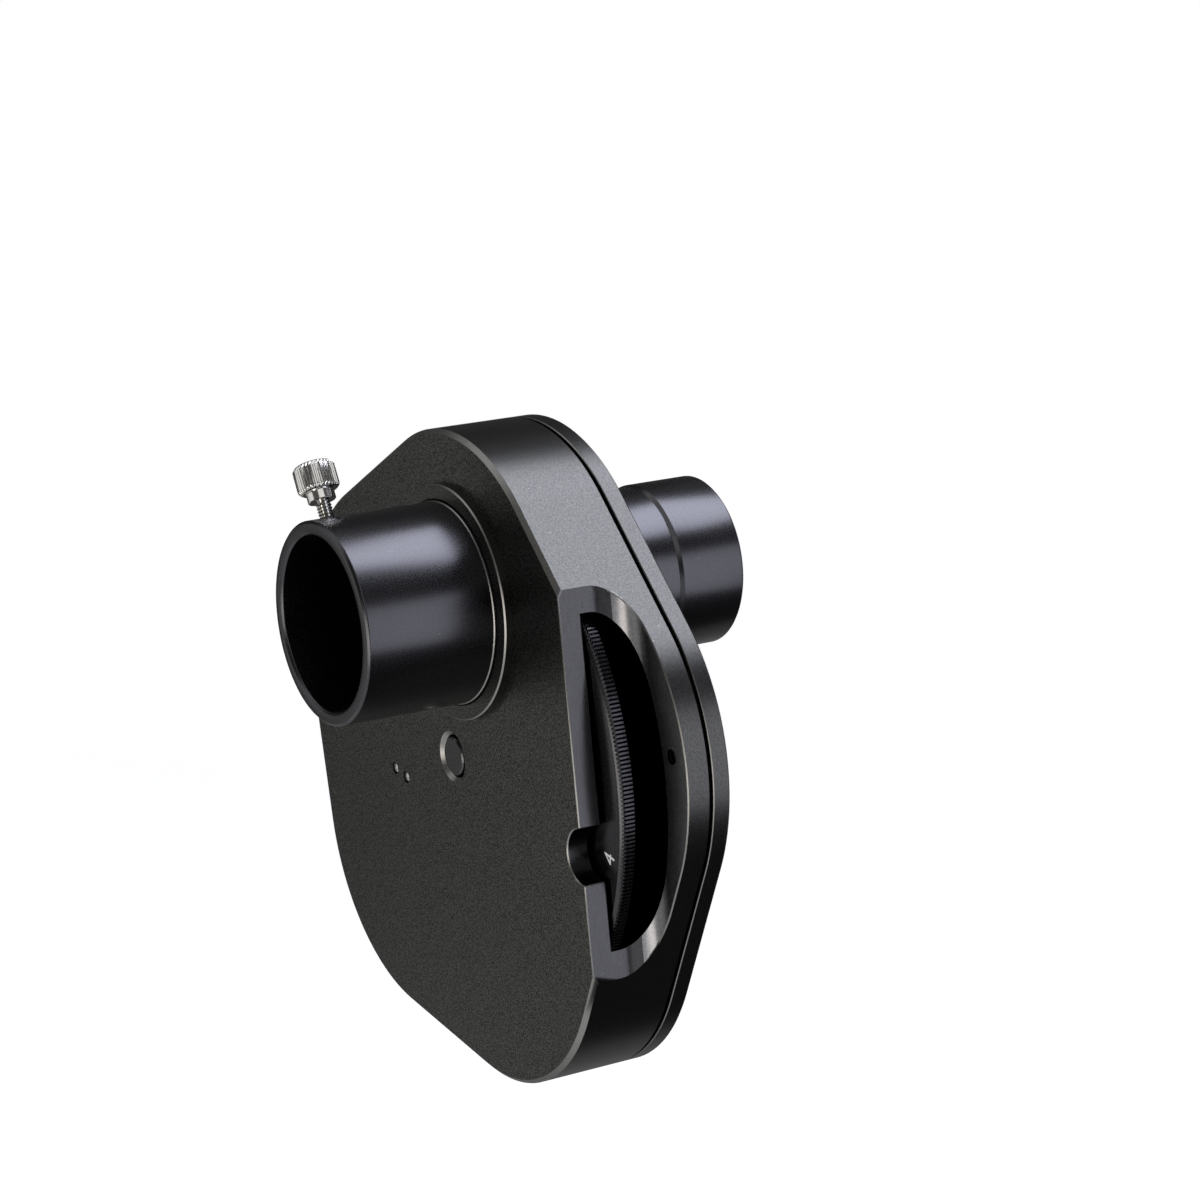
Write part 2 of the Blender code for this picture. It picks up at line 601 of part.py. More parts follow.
def build_detent():
    """The detent leaf with its pressed bump, and the two screws that hold it."""
    root_z = WALL_Z + LEAF_RECESS_DEPTH - SCREW_GAP - LEAF_THICKNESS
    rows = 12
    form = bmesh.new()
    previous = None
    for row in range(rows + 1):
        reach = LEAF_LENGTH - (LEAF_LENGTH + LEAF_TIP) * row / rows
        bend = min(max((LEAF_CLAMP_START - reach) / LEAF_CLAMP_START, 0.0), 1.0)
        half = (LEAF_WIDTH + (LEAF_TIP_WIDTH - LEAF_WIDTH) * bend) / 2
        height = root_z - LEAF_DROP * math.sin(bend * math.pi / 2) ** 2
        pair = [form.verts.new((reach, side * half, height)) for side in (-1, 1)]
        if previous:
            form.faces.new((previous[0], previous[1], pair[1], pair[0]))
        previous = pair
    bmesh.ops.recalc_face_normals(form, faces=form.faces)
    mesh = bpy.data.meshes.new("detent_leaf")
    form.to_mesh(mesh)
    form.free()
    leaf = place(add_object("detent_leaf", mesh, axle_axis, "spring_steel"),
                 leaf_nose(), LEAF_TURN)
    sheet = leaf.modifiers.new("sheet", "SOLIDIFY")
    sheet.thickness = LEAF_THICKNESS
    sheet.offset = 1.0 if mesh.polygons[0].normal.z > 0 else -1.0
    combine(leaf, place(ball("bump_form", BUMP_RADIUS, bump_centre_z(), axle_axis), leaf_nose()),
            "UNION")
    trim_z = root_z - LEAF_DROP + LEAF_THICKNESS
    trim = turned("bump_trim_cutter", rod_profile(BUMP_RADIUS * 1.5, trim_z, trim_z + 2 * PAST),
                  SMALL_TURN, axle_axis)
    combine(leaf, place(trim, leaf_nose()))
    for number, reach in enumerate(LEAF_SCREW_PLACES, 1):
        centre = leaf_nose() + polar(reach, LEAF_TURN)
        hole = turned(f"leaf_hole_cutter_{number}",
                      rod_profile(LEAF_SCREW_RADIUS + SCREW_GAP, WALL_Z, FRONT_Z),
                      SMALL_TURN, axle_axis)
        combine(leaf, place(hole, centre))
        head_z = root_z - SCREW_GAP
        tip_z = FRONT_Z - LEAF_SCREW_RECESS
        screw = turned(f"detent_screw_{number}", [
            (0.0, tip_z), (LEAF_SCREW_RADIUS * 0.8, tip_z),
            (LEAF_SCREW_RADIUS, tip_z - LEAF_SCREW_RADIUS * 0.2), (LEAF_SCREW_RADIUS, head_z),
            (LEAF_SCREW_HEAD_RADIUS, head_z), (LEAF_SCREW_HEAD_RADIUS, head_z - LEAF_SCREW_HEAD),
            (0.0, head_z - LEAF_SCREW_HEAD)], SMALL_TURN, axle_axis, "steel")
        settle(place(screw, centre))
    settle(leaf)


def build_eyepiece_holder():
    ledge = HOLDER_RADIUS - PORT_LEDGE
    tube = turned("eyepiece_holder", [
        (HOLDER_RADIUS - HOLDER_LIP, HOLDER_FRONT_Z),
        (HOLDER_RADIUS, HOLDER_FRONT_Z - HOLDER_LIP),
        (HOLDER_RADIUS, HOLDER_SEAT_Z + SEAT_GAP), (ledge, HOLDER_SEAT_Z + SEAT_GAP),
        (ledge, HOLDER_REAR_Z), (HOLDER_BORE_RADIUS, HOLDER_REAR_Z),
        (HOLDER_BORE_RADIUS, HOLDER_FRONT_Z - HOLDER_LIP),
        (HOLDER_BORE_RADIUS + HOLDER_LIP, HOLDER_FRONT_Z)],
        FINE_TURN, optical_axis, "satin_black", closed=True)
    hole = turned("thumbscrew_cutter",
                  rod_profile(THUMBSCREW_RADIUS + SCREW_GAP, HOLDER_BORE_RADIUS / 2,
                              HOLDER_RADIUS + PAST), SMALL_TURN, thumbscrew_axis)
    combine(tube, hole)
    settle(tube)


def build_thumbscrew():
    tip = HOLDER_BORE_RADIUS + THUMBSCREW_TIP_GAP
    collar = HOLDER_RADIUS + THUMBSCREW_EXPOSED
    head = collar + COLLAR_LENGTH
    top = head + HEAD_LENGTH
    over = HEAD_CHAMFER
    wide = HEAD_RADIUS + over
    screw = turned("thumbscrew", [
        (0.0, top), (HEAD_RADIUS - HEAD_CHAMFER, top), (wide, top - HEAD_CHAMFER - over),
        (wide, head + HEAD_CHAMFER + over), (HEAD_RADIUS - HEAD_CHAMFER, head),
        (COLLAR_RADIUS, head), (COLLAR_RADIUS, collar), (THUMBSCREW_RADIUS, collar),
        (THUMBSCREW_RADIUS, tip + THUMBSCREW_RADIUS * 0.2), (THUMBSCREW_RADIUS * 0.8, tip),
        (0.0, tip)], 48, thumbscrew_axis, "nickel")
    ribs = plate("head_rib_form", ribbed_outline(HEAD_RADIUS, HEAD_RIB_HEIGHT, HEAD_RIBS),
                 tip - PAST, top + PAST, thumbscrew_axis)
    combine(screw, ribs, "INTERSECT")
    settle(screw)


def build_nosepiece():
    spigot_z = LAND_Z - SEAT_GAP / 2
    flange_z = SHOULDER_Z + FLANGE_THICKNESS
    edge = 0.4 * MM
    cut = BARREL_RADIUS - UNDERCUT_DEPTH
    deep = SHOULDER_Z - UNDERCUT_START
    low = SHOULDER_Z - BARREL_LENGTH
    nose = turned("nosepiece", [
        (NOSE_SPIGOT_RADIUS, spigot_z), (NOSE_SPIGOT_RADIUS, flange_z),
        (FLANGE_RADIUS - edge, flange_z), (FLANGE_RADIUS, flange_z - edge),
        (FLANGE_RADIUS, SHOULDER_Z + edge), (FLANGE_RADIUS - edge, SHOULDER_Z),
        (BARREL_RADIUS, SHOULDER_Z), (BARREL_RADIUS, deep),
        (cut, deep - 2 * UNDERCUT_DEPTH), (cut, deep - UNDERCUT_LENGTH + 2 * UNDERCUT_DEPTH),
        (BARREL_RADIUS, deep - UNDERCUT_LENGTH), (BARREL_RADIUS, low + edge),
        (BARREL_RADIUS - edge, low), (BARREL_THREAD_RADIUS, low),
        (BARREL_THREAD_RADIUS, low + BARREL_THREAD_LENGTH),
        (BARREL_BORE_RADIUS, low + BARREL_THREAD_LENGTH), (BARREL_BORE_RADIUS, spigot_z)],
        FINE_TURN, optical_axis, "satin_black", closed=True)
    settle(nose)


for item in list(bpy.data.objects):
    bpy.data.objects.remove(item)

parts = bpy.data.collections.new("filter_wheel")
cutters = bpy.data.collections.new("cutters")
bpy.context.scene.collection.children.link(parts)
bpy.context.scene.collection.children.link(cutters)

FACING = Euler((math.pi / 2, 0.0, 0.0))
AXLE = -polar(SEAT_CIRCLE, PORT_ANGLE)
THUMBSCREW_Y = -(HOLDER_FRONT_Z - THUMBSCREW_PLACE)
optical_axis = add_axis("optical_axis", (0.0, 0.0, 0.0), FACING)
axle_axis = add_axis("axle_axis", (AXLE.x, 0.0, AXLE.y), FACING)
wheel_axis = add_axis("carousel_axis", (AXLE.x, 0.0, AXLE.y), FACING)
thumbscrew_axis = add_axis("thumbscrew_axis", (0.0, THUMBSCREW_Y, 0.0),
                           Euler((0.0, math.pi / 2 - THUMBSCREW_ANGLE, 0.0)))

settle(build_front_housing())
settle(build_rear_cover())
build_carousel()
build_axle()
build_detent()
build_eyepiece_holder()
build_thumbscrew()
build_nosepiece()
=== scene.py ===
import json
import math

import bmesh
import bpy
from mathutils import Matrix, Vector

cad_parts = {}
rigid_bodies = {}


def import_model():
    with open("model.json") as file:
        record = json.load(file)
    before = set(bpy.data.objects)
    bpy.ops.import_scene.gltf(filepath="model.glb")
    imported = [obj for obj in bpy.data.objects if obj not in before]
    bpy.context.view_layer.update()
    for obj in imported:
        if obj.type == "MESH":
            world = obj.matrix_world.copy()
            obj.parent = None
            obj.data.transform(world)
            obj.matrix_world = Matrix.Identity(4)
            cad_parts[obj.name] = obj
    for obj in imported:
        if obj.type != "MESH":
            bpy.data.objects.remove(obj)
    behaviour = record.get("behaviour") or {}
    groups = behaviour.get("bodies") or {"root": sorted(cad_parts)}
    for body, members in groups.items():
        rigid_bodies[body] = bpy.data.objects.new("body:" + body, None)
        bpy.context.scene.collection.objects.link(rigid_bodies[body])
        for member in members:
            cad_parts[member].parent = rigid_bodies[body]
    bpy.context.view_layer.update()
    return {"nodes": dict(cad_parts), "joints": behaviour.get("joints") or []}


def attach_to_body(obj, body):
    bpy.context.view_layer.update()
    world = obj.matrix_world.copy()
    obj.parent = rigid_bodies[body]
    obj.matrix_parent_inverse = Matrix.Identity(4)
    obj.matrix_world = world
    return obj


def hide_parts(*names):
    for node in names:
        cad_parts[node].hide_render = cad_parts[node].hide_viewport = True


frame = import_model()
print("frame loaded:", len(frame["nodes"]), "nodes")

# Everything is drawn in millimetres as seen from the eyepiece side: x right, y up,
# z towards the eyepiece, with the light path at x = y = 0. The matrix turns it into the frame.
mm = 0.001
drawing = Matrix(((mm, 0, 0, 0), (0, 0, -mm, 0), (0, mm, 0, 0), (0, 0, 0, 1)))
turnJoint = next(joint for joint in frame["joints"] if joint["name"] == "carousel_turn")
axle = Vector((turnJoint["pos_m"][0] / mm, turnJoint["pos_m"][2] / mm))
atAxle = Matrix.Translation((axle.x, axle.y, 0))
fullTurn = 2 * math.pi

layout = {
    "positions": 5, "step": fullTurn / 5,
    "seatCircle": 30.5, "seatRadius": 14.0, "wheelRadius": 51.9, "cavityRadius": 54.2,
    "coverRear": 2.9, "coverFront": 6.4, "land": 6.7, "shellRear": 7.0, "boss": 7.3,
    "hubRear": 10.0, "wheelRear": 15.95, "hubFace": 17.55, "wheelFront": 19.35,
    "wall": 20.15, "holderRear": 20.45, "holderSeat": 22.4, "front": 24.35, "ring": 26.1,
    "holderFront": 51.5, "holderRadius": 18.5, "holderBore": 15.95, "screwCircle": 57.3,
    "thumbscrewAt": 44.5,
}

workbench = bpy.data.collections.new("workbench")  # forms and cutters, emptied at the end
bpy.context.scene.collection.children.link(workbench)


def around(radius, angle):
    return Vector((radius * math.cos(angle), radius * math.sin(angle)))


def addNode(tree, kind, inputs=None, **settings):
    # an input takes a value, a socket, or a node, whose first output is then used
    node = tree.nodes.new(kind)
    for name, value in settings.items():
        setattr(node, name, value)
    for name, value in (inputs or {}).items():
        if isinstance(value, bpy.types.Node):
            value = value.outputs[0]
        if isinstance(value, bpy.types.NodeSocket):
            tree.links.new(value, node.inputs[name])
        else:
            node.inputs[name].default_value = value
    return node


def calc(tree, operation, first, second=0.0, third=0.0):
    return addNode(tree, "ShaderNodeMath", {0: first, 1: second, 2: third}, operation=operation)


def linearColour(code):
    channels = [int(code[i:i + 2], 16) / 255 for i in (1, 3, 5)]
    return (*[c / 12.92 if c <= 0.04045 else ((c + 0.055) / 1.055) ** 2.4 for c in channels], 1.0)


# Finishes. Each starts from a typical value for the real material.

def newFinish(name, sockets):
    material = bpy.data.materials.new(name)
    material.use_nodes = True
    shader = material.node_tree.nodes["Principled BSDF"]
    for socket, value in sockets.items():
        shader.inputs[socket].default_value = value
    return material, material.node_tree, shader


def coordinates(tree, kind="Object"):
    return addNode(tree, "ShaderNodeTexCoord").outputs[kind]


def grain(tree, size, detail=2.0, stretch=(1, 1, 1)):
    # noise whose features are about size millimetres across, on object coordinates
    place = coordinates(tree)
    if stretch != (1, 1, 1):
        place = addNode(tree, "ShaderNodeMapping", {"Vector": place, "Scale": stretch})
    return addNode(tree, "ShaderNodeTexNoise", {
        "Vector": place, "Scale": 0.5 / (size * mm), "Detail": detail, "Roughness": 0.6})


def spread(tree, value, low, high, fromLow=0.3, fromHigh=0.7):
    return addNode(tree, "ShaderNodeMapRange", {
        "Value": value, "From Min": fromLow, "From Max": fromHigh, "To Min": low, "To Max": high})


def blend(tree, share, first, second):
    return addNode(tree, "ShaderNodeMix", {"Factor": share, 6: first, 7: second},
                   data_type="RGBA").outputs[2]


def glossAndColour(tree, shader, marks, look, low=0.3, high=0.7):
    # marks between low and high vary the gloss, and the colour, which is given back
    gloss = spread(tree, marks, *look["roughness"], low, high)
    tree.links.new(gloss.outputs[0], shader.inputs["Roughness"])
    return blend(tree, spread(tree, marks, 0.0, 1.0, low, high),
                 linearColour(look["dark"]), linearColour(look["light"]))


def anodisedSkin(name, look, tool=None):
    # Anodised aluminium is a metal under a dyed oxide film: no diffuse light, only a dark reflection.
    # The base colour is what the film lets through, and dust shows as rare pale specks.
    material, tree, shader = newFinish(name, {"Metallic": 1.0})
    height, share = grain(tree, look["pit"], 3.0), look.get("toolShare", 0.0)
    if tool:
        height = calc(tree, "ADD", height, calc(tree, "MULTIPLY", tool(tree), share))
    film = glossAndColour(tree, shader, height, look, 0.35 + 0.4 * share, 0.65 + 0.6 * share)
    onFaces = 1.0
    if "speckle" in look:
        # the speckle is strong on the front and back faces and faint on the rim: partly the blast
        # grain, and partly painted sparkle and shade, as the grazing light on the faces shows the grain
        facing = addNode(tree, "ShaderNodeSeparateXYZ", {0: coordinates(tree, "Normal")}).outputs["Y"]
        onFaces = spread(tree, calc(tree, "ABSOLUTE", facing), 0.15, 1.0, 0.6, 0.95)
        # painted sparkle and shade: the pale and dark specks put the glints and shade of the grain into
        # the colour
        gritAndSparkle = spread(tree, grain(tree, look["speckle"]), 0.0, 1.0, 0.41, 0.59)
        speckled = blend(tree, gritAndSparkle, linearColour(look["speckleDark"]),
                         linearColour(look["speckleLight"]))
        film = blend(tree, onFaces, film, speckled)
    cells = addNode(tree, "ShaderNodeTexVoronoi", {
        "Vector": coordinates(tree), "Scale": 1 / (look["dustSpacing"] * mm)})
    speckSize = look["dustSize"] / look["dustSpacing"]
    speck = spread(tree, cells.outputs["Distance"], 1.0, 0.0, 0.0, speckSize)
    dusted = blend(tree, speck, film, linearColour("#8c8c8a"))
    tree.links.new(dusted, shader.inputs["Base Color"])
    bump = addNode(tree, "ShaderNodeBump", {
        "Height": height, "Distance": look["pitDepth"] * mm, "Strength": onFaces})
    tree.links.new(bump.outputs[0], shader.inputs["Normal"])
    return material


def toolLines(stretch, size):
    # the straight marks of a milling cutter, long in one direction
    return lambda tree: grain(tree, size, 1.0, stretch)


def latheRings(centre, size):
    # rings round an axis that runs along y through the centre, on a tube's side or on its end face
    def rings(tree):
        moved = addNode(tree, "ShaderNodeMapping", {
            "Vector": coordinates(tree), "Location": (-centre[0] * mm, 0.0, -centre[1] * mm)})
        flat = addNode(tree, "ShaderNodeVectorMath", {0: moved, 1: (1, 0, 1)}, operation="MULTIPLY")
        reach = addNode(tree, "ShaderNodeVectorMath", {0: flat}, operation="LENGTH")
        along = addNode(tree, "ShaderNodeSeparateXYZ", {0: moved})
        return addNode(tree, "ShaderNodeTexNoise", {
            "W": calc(tree, "SUBTRACT", reach.outputs["Value"], along.outputs["Y"]),
            "Scale": 0.5 / (size * mm), "Detail": 2.0}, noise_dimensions="1D")
    return rings


def plainMetal(name, look):
    # Bare or plated metal: the reflection carries the colour, and fine handling marks break it.
    material, tree, shader = newFinish(name, {"Metallic": 1.0})
    marks = grain(tree, look["mark"], 3.0, look.get("stretch", (1, 1, 1)))
    tree.links.new(glossAndColour(tree, shader, marks, look), shader.inputs["Base Color"])
    bump = addNode(tree, "ShaderNodeBump", {
        "Height": marks, "Distance": look["depth"] * mm, "Strength": 1.0})
    tree.links.new(bump.outputs[0], shader.inputs["Normal"])
    return material


def mattPlastic(name, look):
    # Dull, even, non-metal: nylon washers and the paint of the numbers.
    material, tree, shader = newFinish(name, {"Metallic": 0.0, "IOR": look["ior"]})
    colour = glossAndColour(tree, shader, grain(tree, look["mark"]), look)
    tree.links.new(colour, shader.inputs["Base Color"])
    return material


# Glass-bead blasted: an even dark grey with a fine speckle, from pits about 0.1 mm across, whose pale
# and dark specks on the faces are partly painted sparkle and shade. The speckle is a little coarser
# than the pits, so that it shows.
blastedSkin = anodisedSkin("blastedBlackAnodised", {
    "pit": 0.12, "pitDepth": 0.03, "roughness": (0.28, 0.32), "dark": "#3e3e3d", "light": "#484847",
    "speckle": 0.15, "speckleDark": "#131312", "speckleLight": "#64645f",
    "dustSpacing": 3.0, "dustSize": 0.12})
# Milled: smoother than the blasted skin, with faint tool lines. A finishing cutter leaves lines
# about 0.1 mm apart.
milledSkin = anodisedSkin("milledBlackAnodised", {
    "pit": 0.12, "pitDepth": 0.003, "roughness": (0.20, 0.27), "dark": "#3a3a3b", "light": "#4a4a4b",
    "dustSpacing": 3.5, "dustSize": 0.1, "toolShare": 0.3}, toolLines((1, 1, 0.02), 0.12))
# Edges cut after blasting: the film is thinner on them, so they are paler than the skin beside.
cutEdgeSkin = anodisedSkin("cutEdgeAnodised", {
    "pit": 0.12, "pitDepth": 0.002, "roughness": (0.30, 0.38), "dark": "#7a7a78", "light": "#8c8c89",
    "dustSpacing": 4.0, "dustSize": 0.05})
# The rear wall of the finger pocket, left rougher by the end of the cutter, and paler than the milled
# skin to paint the light that falls on it.
pocketWallLitSkin = anodisedSkin("pocketWallPaintedLight", {
    "pit": 0.14, "pitDepth": 0.003, "roughness": (0.28, 0.34), "dark": "#767678", "light": "#8e8e90",
    "dustSpacing": 3.0, "dustSize": 0.1})
# Turned and satin: the tube and the nosepiece, with the faintest rings.
holderSkin = anodisedSkin("turnedSatinAnodised", {
    "pit": 0.12, "pitDepth": 0.001, "roughness": (0.25, 0.29), "dark": "#414143", "light": "#49494c",
    "dustSpacing": 4.0, "dustSize": 0.1, "toolShare": 0.2}, latheRings((0, 0), 0.15))
# Turned end face of the axle, with rings that show a little more.
axleSkin = anodisedSkin("turnedAxleAnodised", {
    "pit": 0.12, "pitDepth": 0.002, "roughness": (0.20, 0.28), "dark": "#424242", "light": "#505050",
    "dustSpacing": 4.0, "dustSize": 0.1, "toolShare": 0.8}, latheRings(axle, 0.15))
# Machined all over: the carousel, whose face was turned and whose rim was ribbed.
wheelSkin = anodisedSkin("machinedWheelAnodised", {
    "pit": 0.12, "pitDepth": 0.003, "roughness": (0.20, 0.28), "dark": "#38383a", "light": "#48484a",
    "dustSpacing": 3.0, "dustSize": 0.1, "toolShare": 0.5}, latheRings(axle, 0.15))
# Nickel plate over brass: bright, slightly warm, with a faint mottling.
nickelPlate = plainMetal("brightNickelPlate", {
    "mark": 0.4, "depth": 0.0002, "roughness": (0.13, 0.19), "dark": "#cfcecb", "light": "#dddcd9"})
# Steel screw ends, cut and left bare.
cutSteel = plainMetal("cutSteel", {
    "mark": 0.2, "depth": 0.03, "roughness": (0.22, 0.45), "dark": "#8d8d8f", "light": "#d6d6d8"})
# Cold-rolled spring steel: lines along the rolling direction.
rolledSteel = plainMetal("rolledSpringSteel", {
    "mark": 0.25, "depth": 0.002, "roughness": (0.22, 0.34), "dark": "#8a8c92", "light": "#b4b6bb",
    "stretch": (0.08, 1, 1)})
# Black oxide steel: nearly black with an oily sheen.
oxideSteel = plainMetal("blackOxideSteel", {
    "mark": 0.3, "depth": 0.004, "roughness": (0.30, 0.44), "dark": "#2a2a2b", "light": "#3c3c3e"})
# Turned bearing brass: yellow, dulled by oil.
turnedBrass = plainMetal("turnedBrass", {
    "mark": 0.3, "depth": 0.002, "roughness": (0.26, 0.36), "dark": "#a5803a", "light": "#c9a45a",
    "stretch": (1, 0.1, 1)})
# The thumbscrew's thread: darker than the nickel head, as painted shade for the shade and dark
# reflections on it.
shadedThread = plainMetal("shadedThread", {
    "mark": 0.2, "depth": 0.0005, "roughness": (0.20, 0.32), "dark": "#5c5c5f", "light": "#98989a"})
naturalNylon = mattPlastic("naturalNylon", {
    "ior": 1.53, "mark": 0.8, "roughness": (0.45, 0.58), "dark": "#d6d4ca", "light": "#e6e4dc"})
whitePaint = mattPlastic("whiteScreenPaint", {
    "ior": 1.5, "mark": 0.3, "roughness": (0.45, 0.6), "dark": "#eeeeec", "light": "#ffffff"})
print("finishes made:", len(bpy.data.materials))


# Forms: turned, raised and cut on the workbench in millimetres.

def formed(name, verts, faces, material=None):
    mesh = bpy.data.meshes.new(name)
    mesh.from_pydata(verts, [], faces)
    form = bmesh.new()
    form.from_mesh(mesh)
    bmesh.ops.remove_doubles(form, verts=form.verts, dist=0.0005)
    bmesh.ops.recalc_face_normals(form, faces=form.faces)
    form.to_mesh(mesh)
    form.free()
    if material:
        mesh.materials.append(material)
    item = bpy.data.objects.new(name, mesh)
    workbench.objects.link(item)
    return item


def eased(points, radius, closed=True, steps=3):
    # rounds the corners of a profile
    result = []
    for i, here in enumerate(points):
        here = Vector(here)
        if not closed and i in (0, len(points) - 1):
            result.append(here)
            continue
        before = Vector(points[i - 1]) - here
        after = Vector(points[(i + 1) % len(points)]) - here
        start = here + before.normalized() * min(radius, before.length * 0.45)
        end = here + after.normalized() * min(radius, after.length * 0.45)
        for k in range(steps + 1):
            t = k / steps
            result.append(start * (1 - t) ** 2 + here * 2 * t * (1 - t) + end * t ** 2)
    return result


def turned(name, profile, steps=96, material=None, centre=(0, 0), closed=False):
    # profile points are (radius, z)
    count = len(profile)
    verts = [(centre[0] + p[0] * math.cos(fullTurn * k / steps),
              centre[1] + p[0] * math.sin(fullTurn * k / steps), p[1])
             for k in range(steps) for p in profile]
    faces = []
    for k in range(steps):
        here, after = k * count, (k + 1) % steps * count
        for j in range(count if closed else count - 1):
            n = (j + 1) % count
            faces.append((here + j, after + j, after + n, here + n))
    return formed(name, verts, faces, material)


def raised(name, outline, section, material=None):
    # outline(inset) gives a loop of points, and section is (inset, z) from one end to the other
    loops = [[(p[0], p[1], z) for p in outline(inset)] for inset, z in section]
    count = len(loops[0])
    verts = [p for loop in loops for p in loop]
    faces = [tuple(range(count)), tuple(range((len(loops) - 1) * count, len(loops) * count))]
    for k in range(len(loops) - 1):
        for j in range(count):
            n = (j + 1) % count
            faces.append((k * count + j, k * count + n, (k + 1) * count + n, (k + 1) * count + j))
    return formed(name, verts, faces, material)


def cut(target, tool, operation="DIFFERENCE"):
    change = target.modifiers.new(tool.name, "BOOLEAN")
    change.operation = operation
    change.solver = "EXACT"
    change.material_mode = "TRANSFER"
    change.object = tool


def evaluated(item):
    bpy.context.view_layer.update()
    return bpy.data.meshes.new_from_object(
        item.evaluated_get(bpy.context.evaluated_depsgraph_get()))


def joinTo(item, extra, index=0):
    # adds the extra item's mesh, with its faces in the material of that index
    joined = bmesh.new()
    joined.from_mesh(item.data)
    start = len(joined.faces)
    joined.from_mesh(extra.data)
    joined.faces.ensure_lookup_table()
    for face in joined.faces[start:]:
        face.material_index = index
    joined.to_mesh(item.data)
    joined.free()


def slanted(face):
    return 0.35 < abs(face.normal.z) < 0.94


def chamferEdges(item, width, zones, plainHoles=(), plainReach=1.6, angle=50):
    # a narrow flat on each outward corner, which catches the light as a bright line, with the
    # paler finish on it and on the slanted faces that lie in the zones, given as (z, z) ranges.
    # Edges within the plain reach of a plain hole's middle stay sharp.
    mesh = evaluated(item)
    item.modifiers.clear()
    form = bmesh.new()
    form.from_mesh(mesh)
    bmesh.ops.remove_doubles(form, verts=form.verts, dist=0.004)
    bmesh.ops.dissolve_degenerate(form, edges=form.edges, dist=0.002)
    bmesh.ops.dissolve_limit(form, angle_limit=math.radians(0.3), verts=form.verts,
                             edges=form.edges, delimit={"MATERIAL"})
    weight = form.edges.layers.float.new("bevel_weight_edge")
    for edge in form.edges:
        middle = ((edge.verts[0].co + edge.verts[1].co) / 2).xy
        if any((middle - spot).length < plainReach for spot in plainHoles):
            continue
        outward = len(edge.link_faces) == 2 and edge.is_convex
        if outward and edge.calc_face_angle() > math.radians(angle):
            edge[weight] = 1.0
    form.to_mesh(mesh)
    form.free()
    mesh.materials.append(cutEdgeSkin)
    pale = len(mesh.materials) - 1
    for face in mesh.polygons:
        if slanted(face) and any(low < face.center.z < high for low, high in zones):
            face.material_index = pale
    item.data = mesh
    bevel = item.modifiers.new("chamfer", "BEVEL")
    bevel.width = width
    bevel.segments = 1
    bevel.material = pale
    bevel.limit_method = "WEIGHT"
    bevel.use_clamp_overlap = False
    item.data = evaluated(item)
    item.modifiers.clear()
    item.data.shade_smooth()
    item.data.set_sharp_from_angle(angle=math.radians(30))
    flatter = item.modifiers.new("flatFaces", "WEIGHTED_NORMAL")
    flatter.keep_sharp = True


def settle(item, name, place=drawing, sharp=35):
    # the finished mesh, in the frame's metres, on an object at the origin
    mesh = evaluated(item)
    mesh.transform(place)
    mesh.name = name
    if sharp:
        mesh.shade_smooth()
        mesh.set_sharp_from_angle(angle=math.radians(sharp))
    piece = bpy.data.objects.new(name, mesh)
    bpy.context.scene.collection.objects.link(piece)
    return piece


def attach(piece, body, slot, *nodes):
    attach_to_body(piece, body)
    if nodes:
        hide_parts(*nodes)
    print("piece:", piece.name, len(piece.data.polygons), "faces")


# Rules: trees that make what repeats.

def newRule(name, sockets):
    tree = bpy.data.node_groups.new(name, "GeometryNodeTree")
    for label, kind, value in sockets:
        socket = tree.interface.new_socket(label, in_out="INPUT", socket_type="NodeSocket" + kind)
        if value is not None:
            socket.default_value = value
    tree.interface.new_socket("Geometry", in_out="OUTPUT", socket_type="NodeSocketGeometry")
    return tree, addNode(tree, "NodeGroupInput").outputs


def endRule(tree, geometry, material):
    real = addNode(tree, "GeometryNodeRealizeInstances", {"Geometry": geometry})
    painted = addNode(tree, "GeometryNodeSetMaterial", {"Geometry": real, "Material": material})
    addNode(tree, "NodeGroupOutput", {"Geometry": painted})
    return tree


def onCircle(tree, radius, angle, height=0.0):
    return addNode(tree, "ShaderNodeCombineXYZ", {
        "X": calc(tree, "MULTIPLY", radius, calc(tree, "COSINE", angle)),
        "Y": calc(tree, "MULTIPLY", radius, calc(tree, "SINE", angle)), "Z": height})


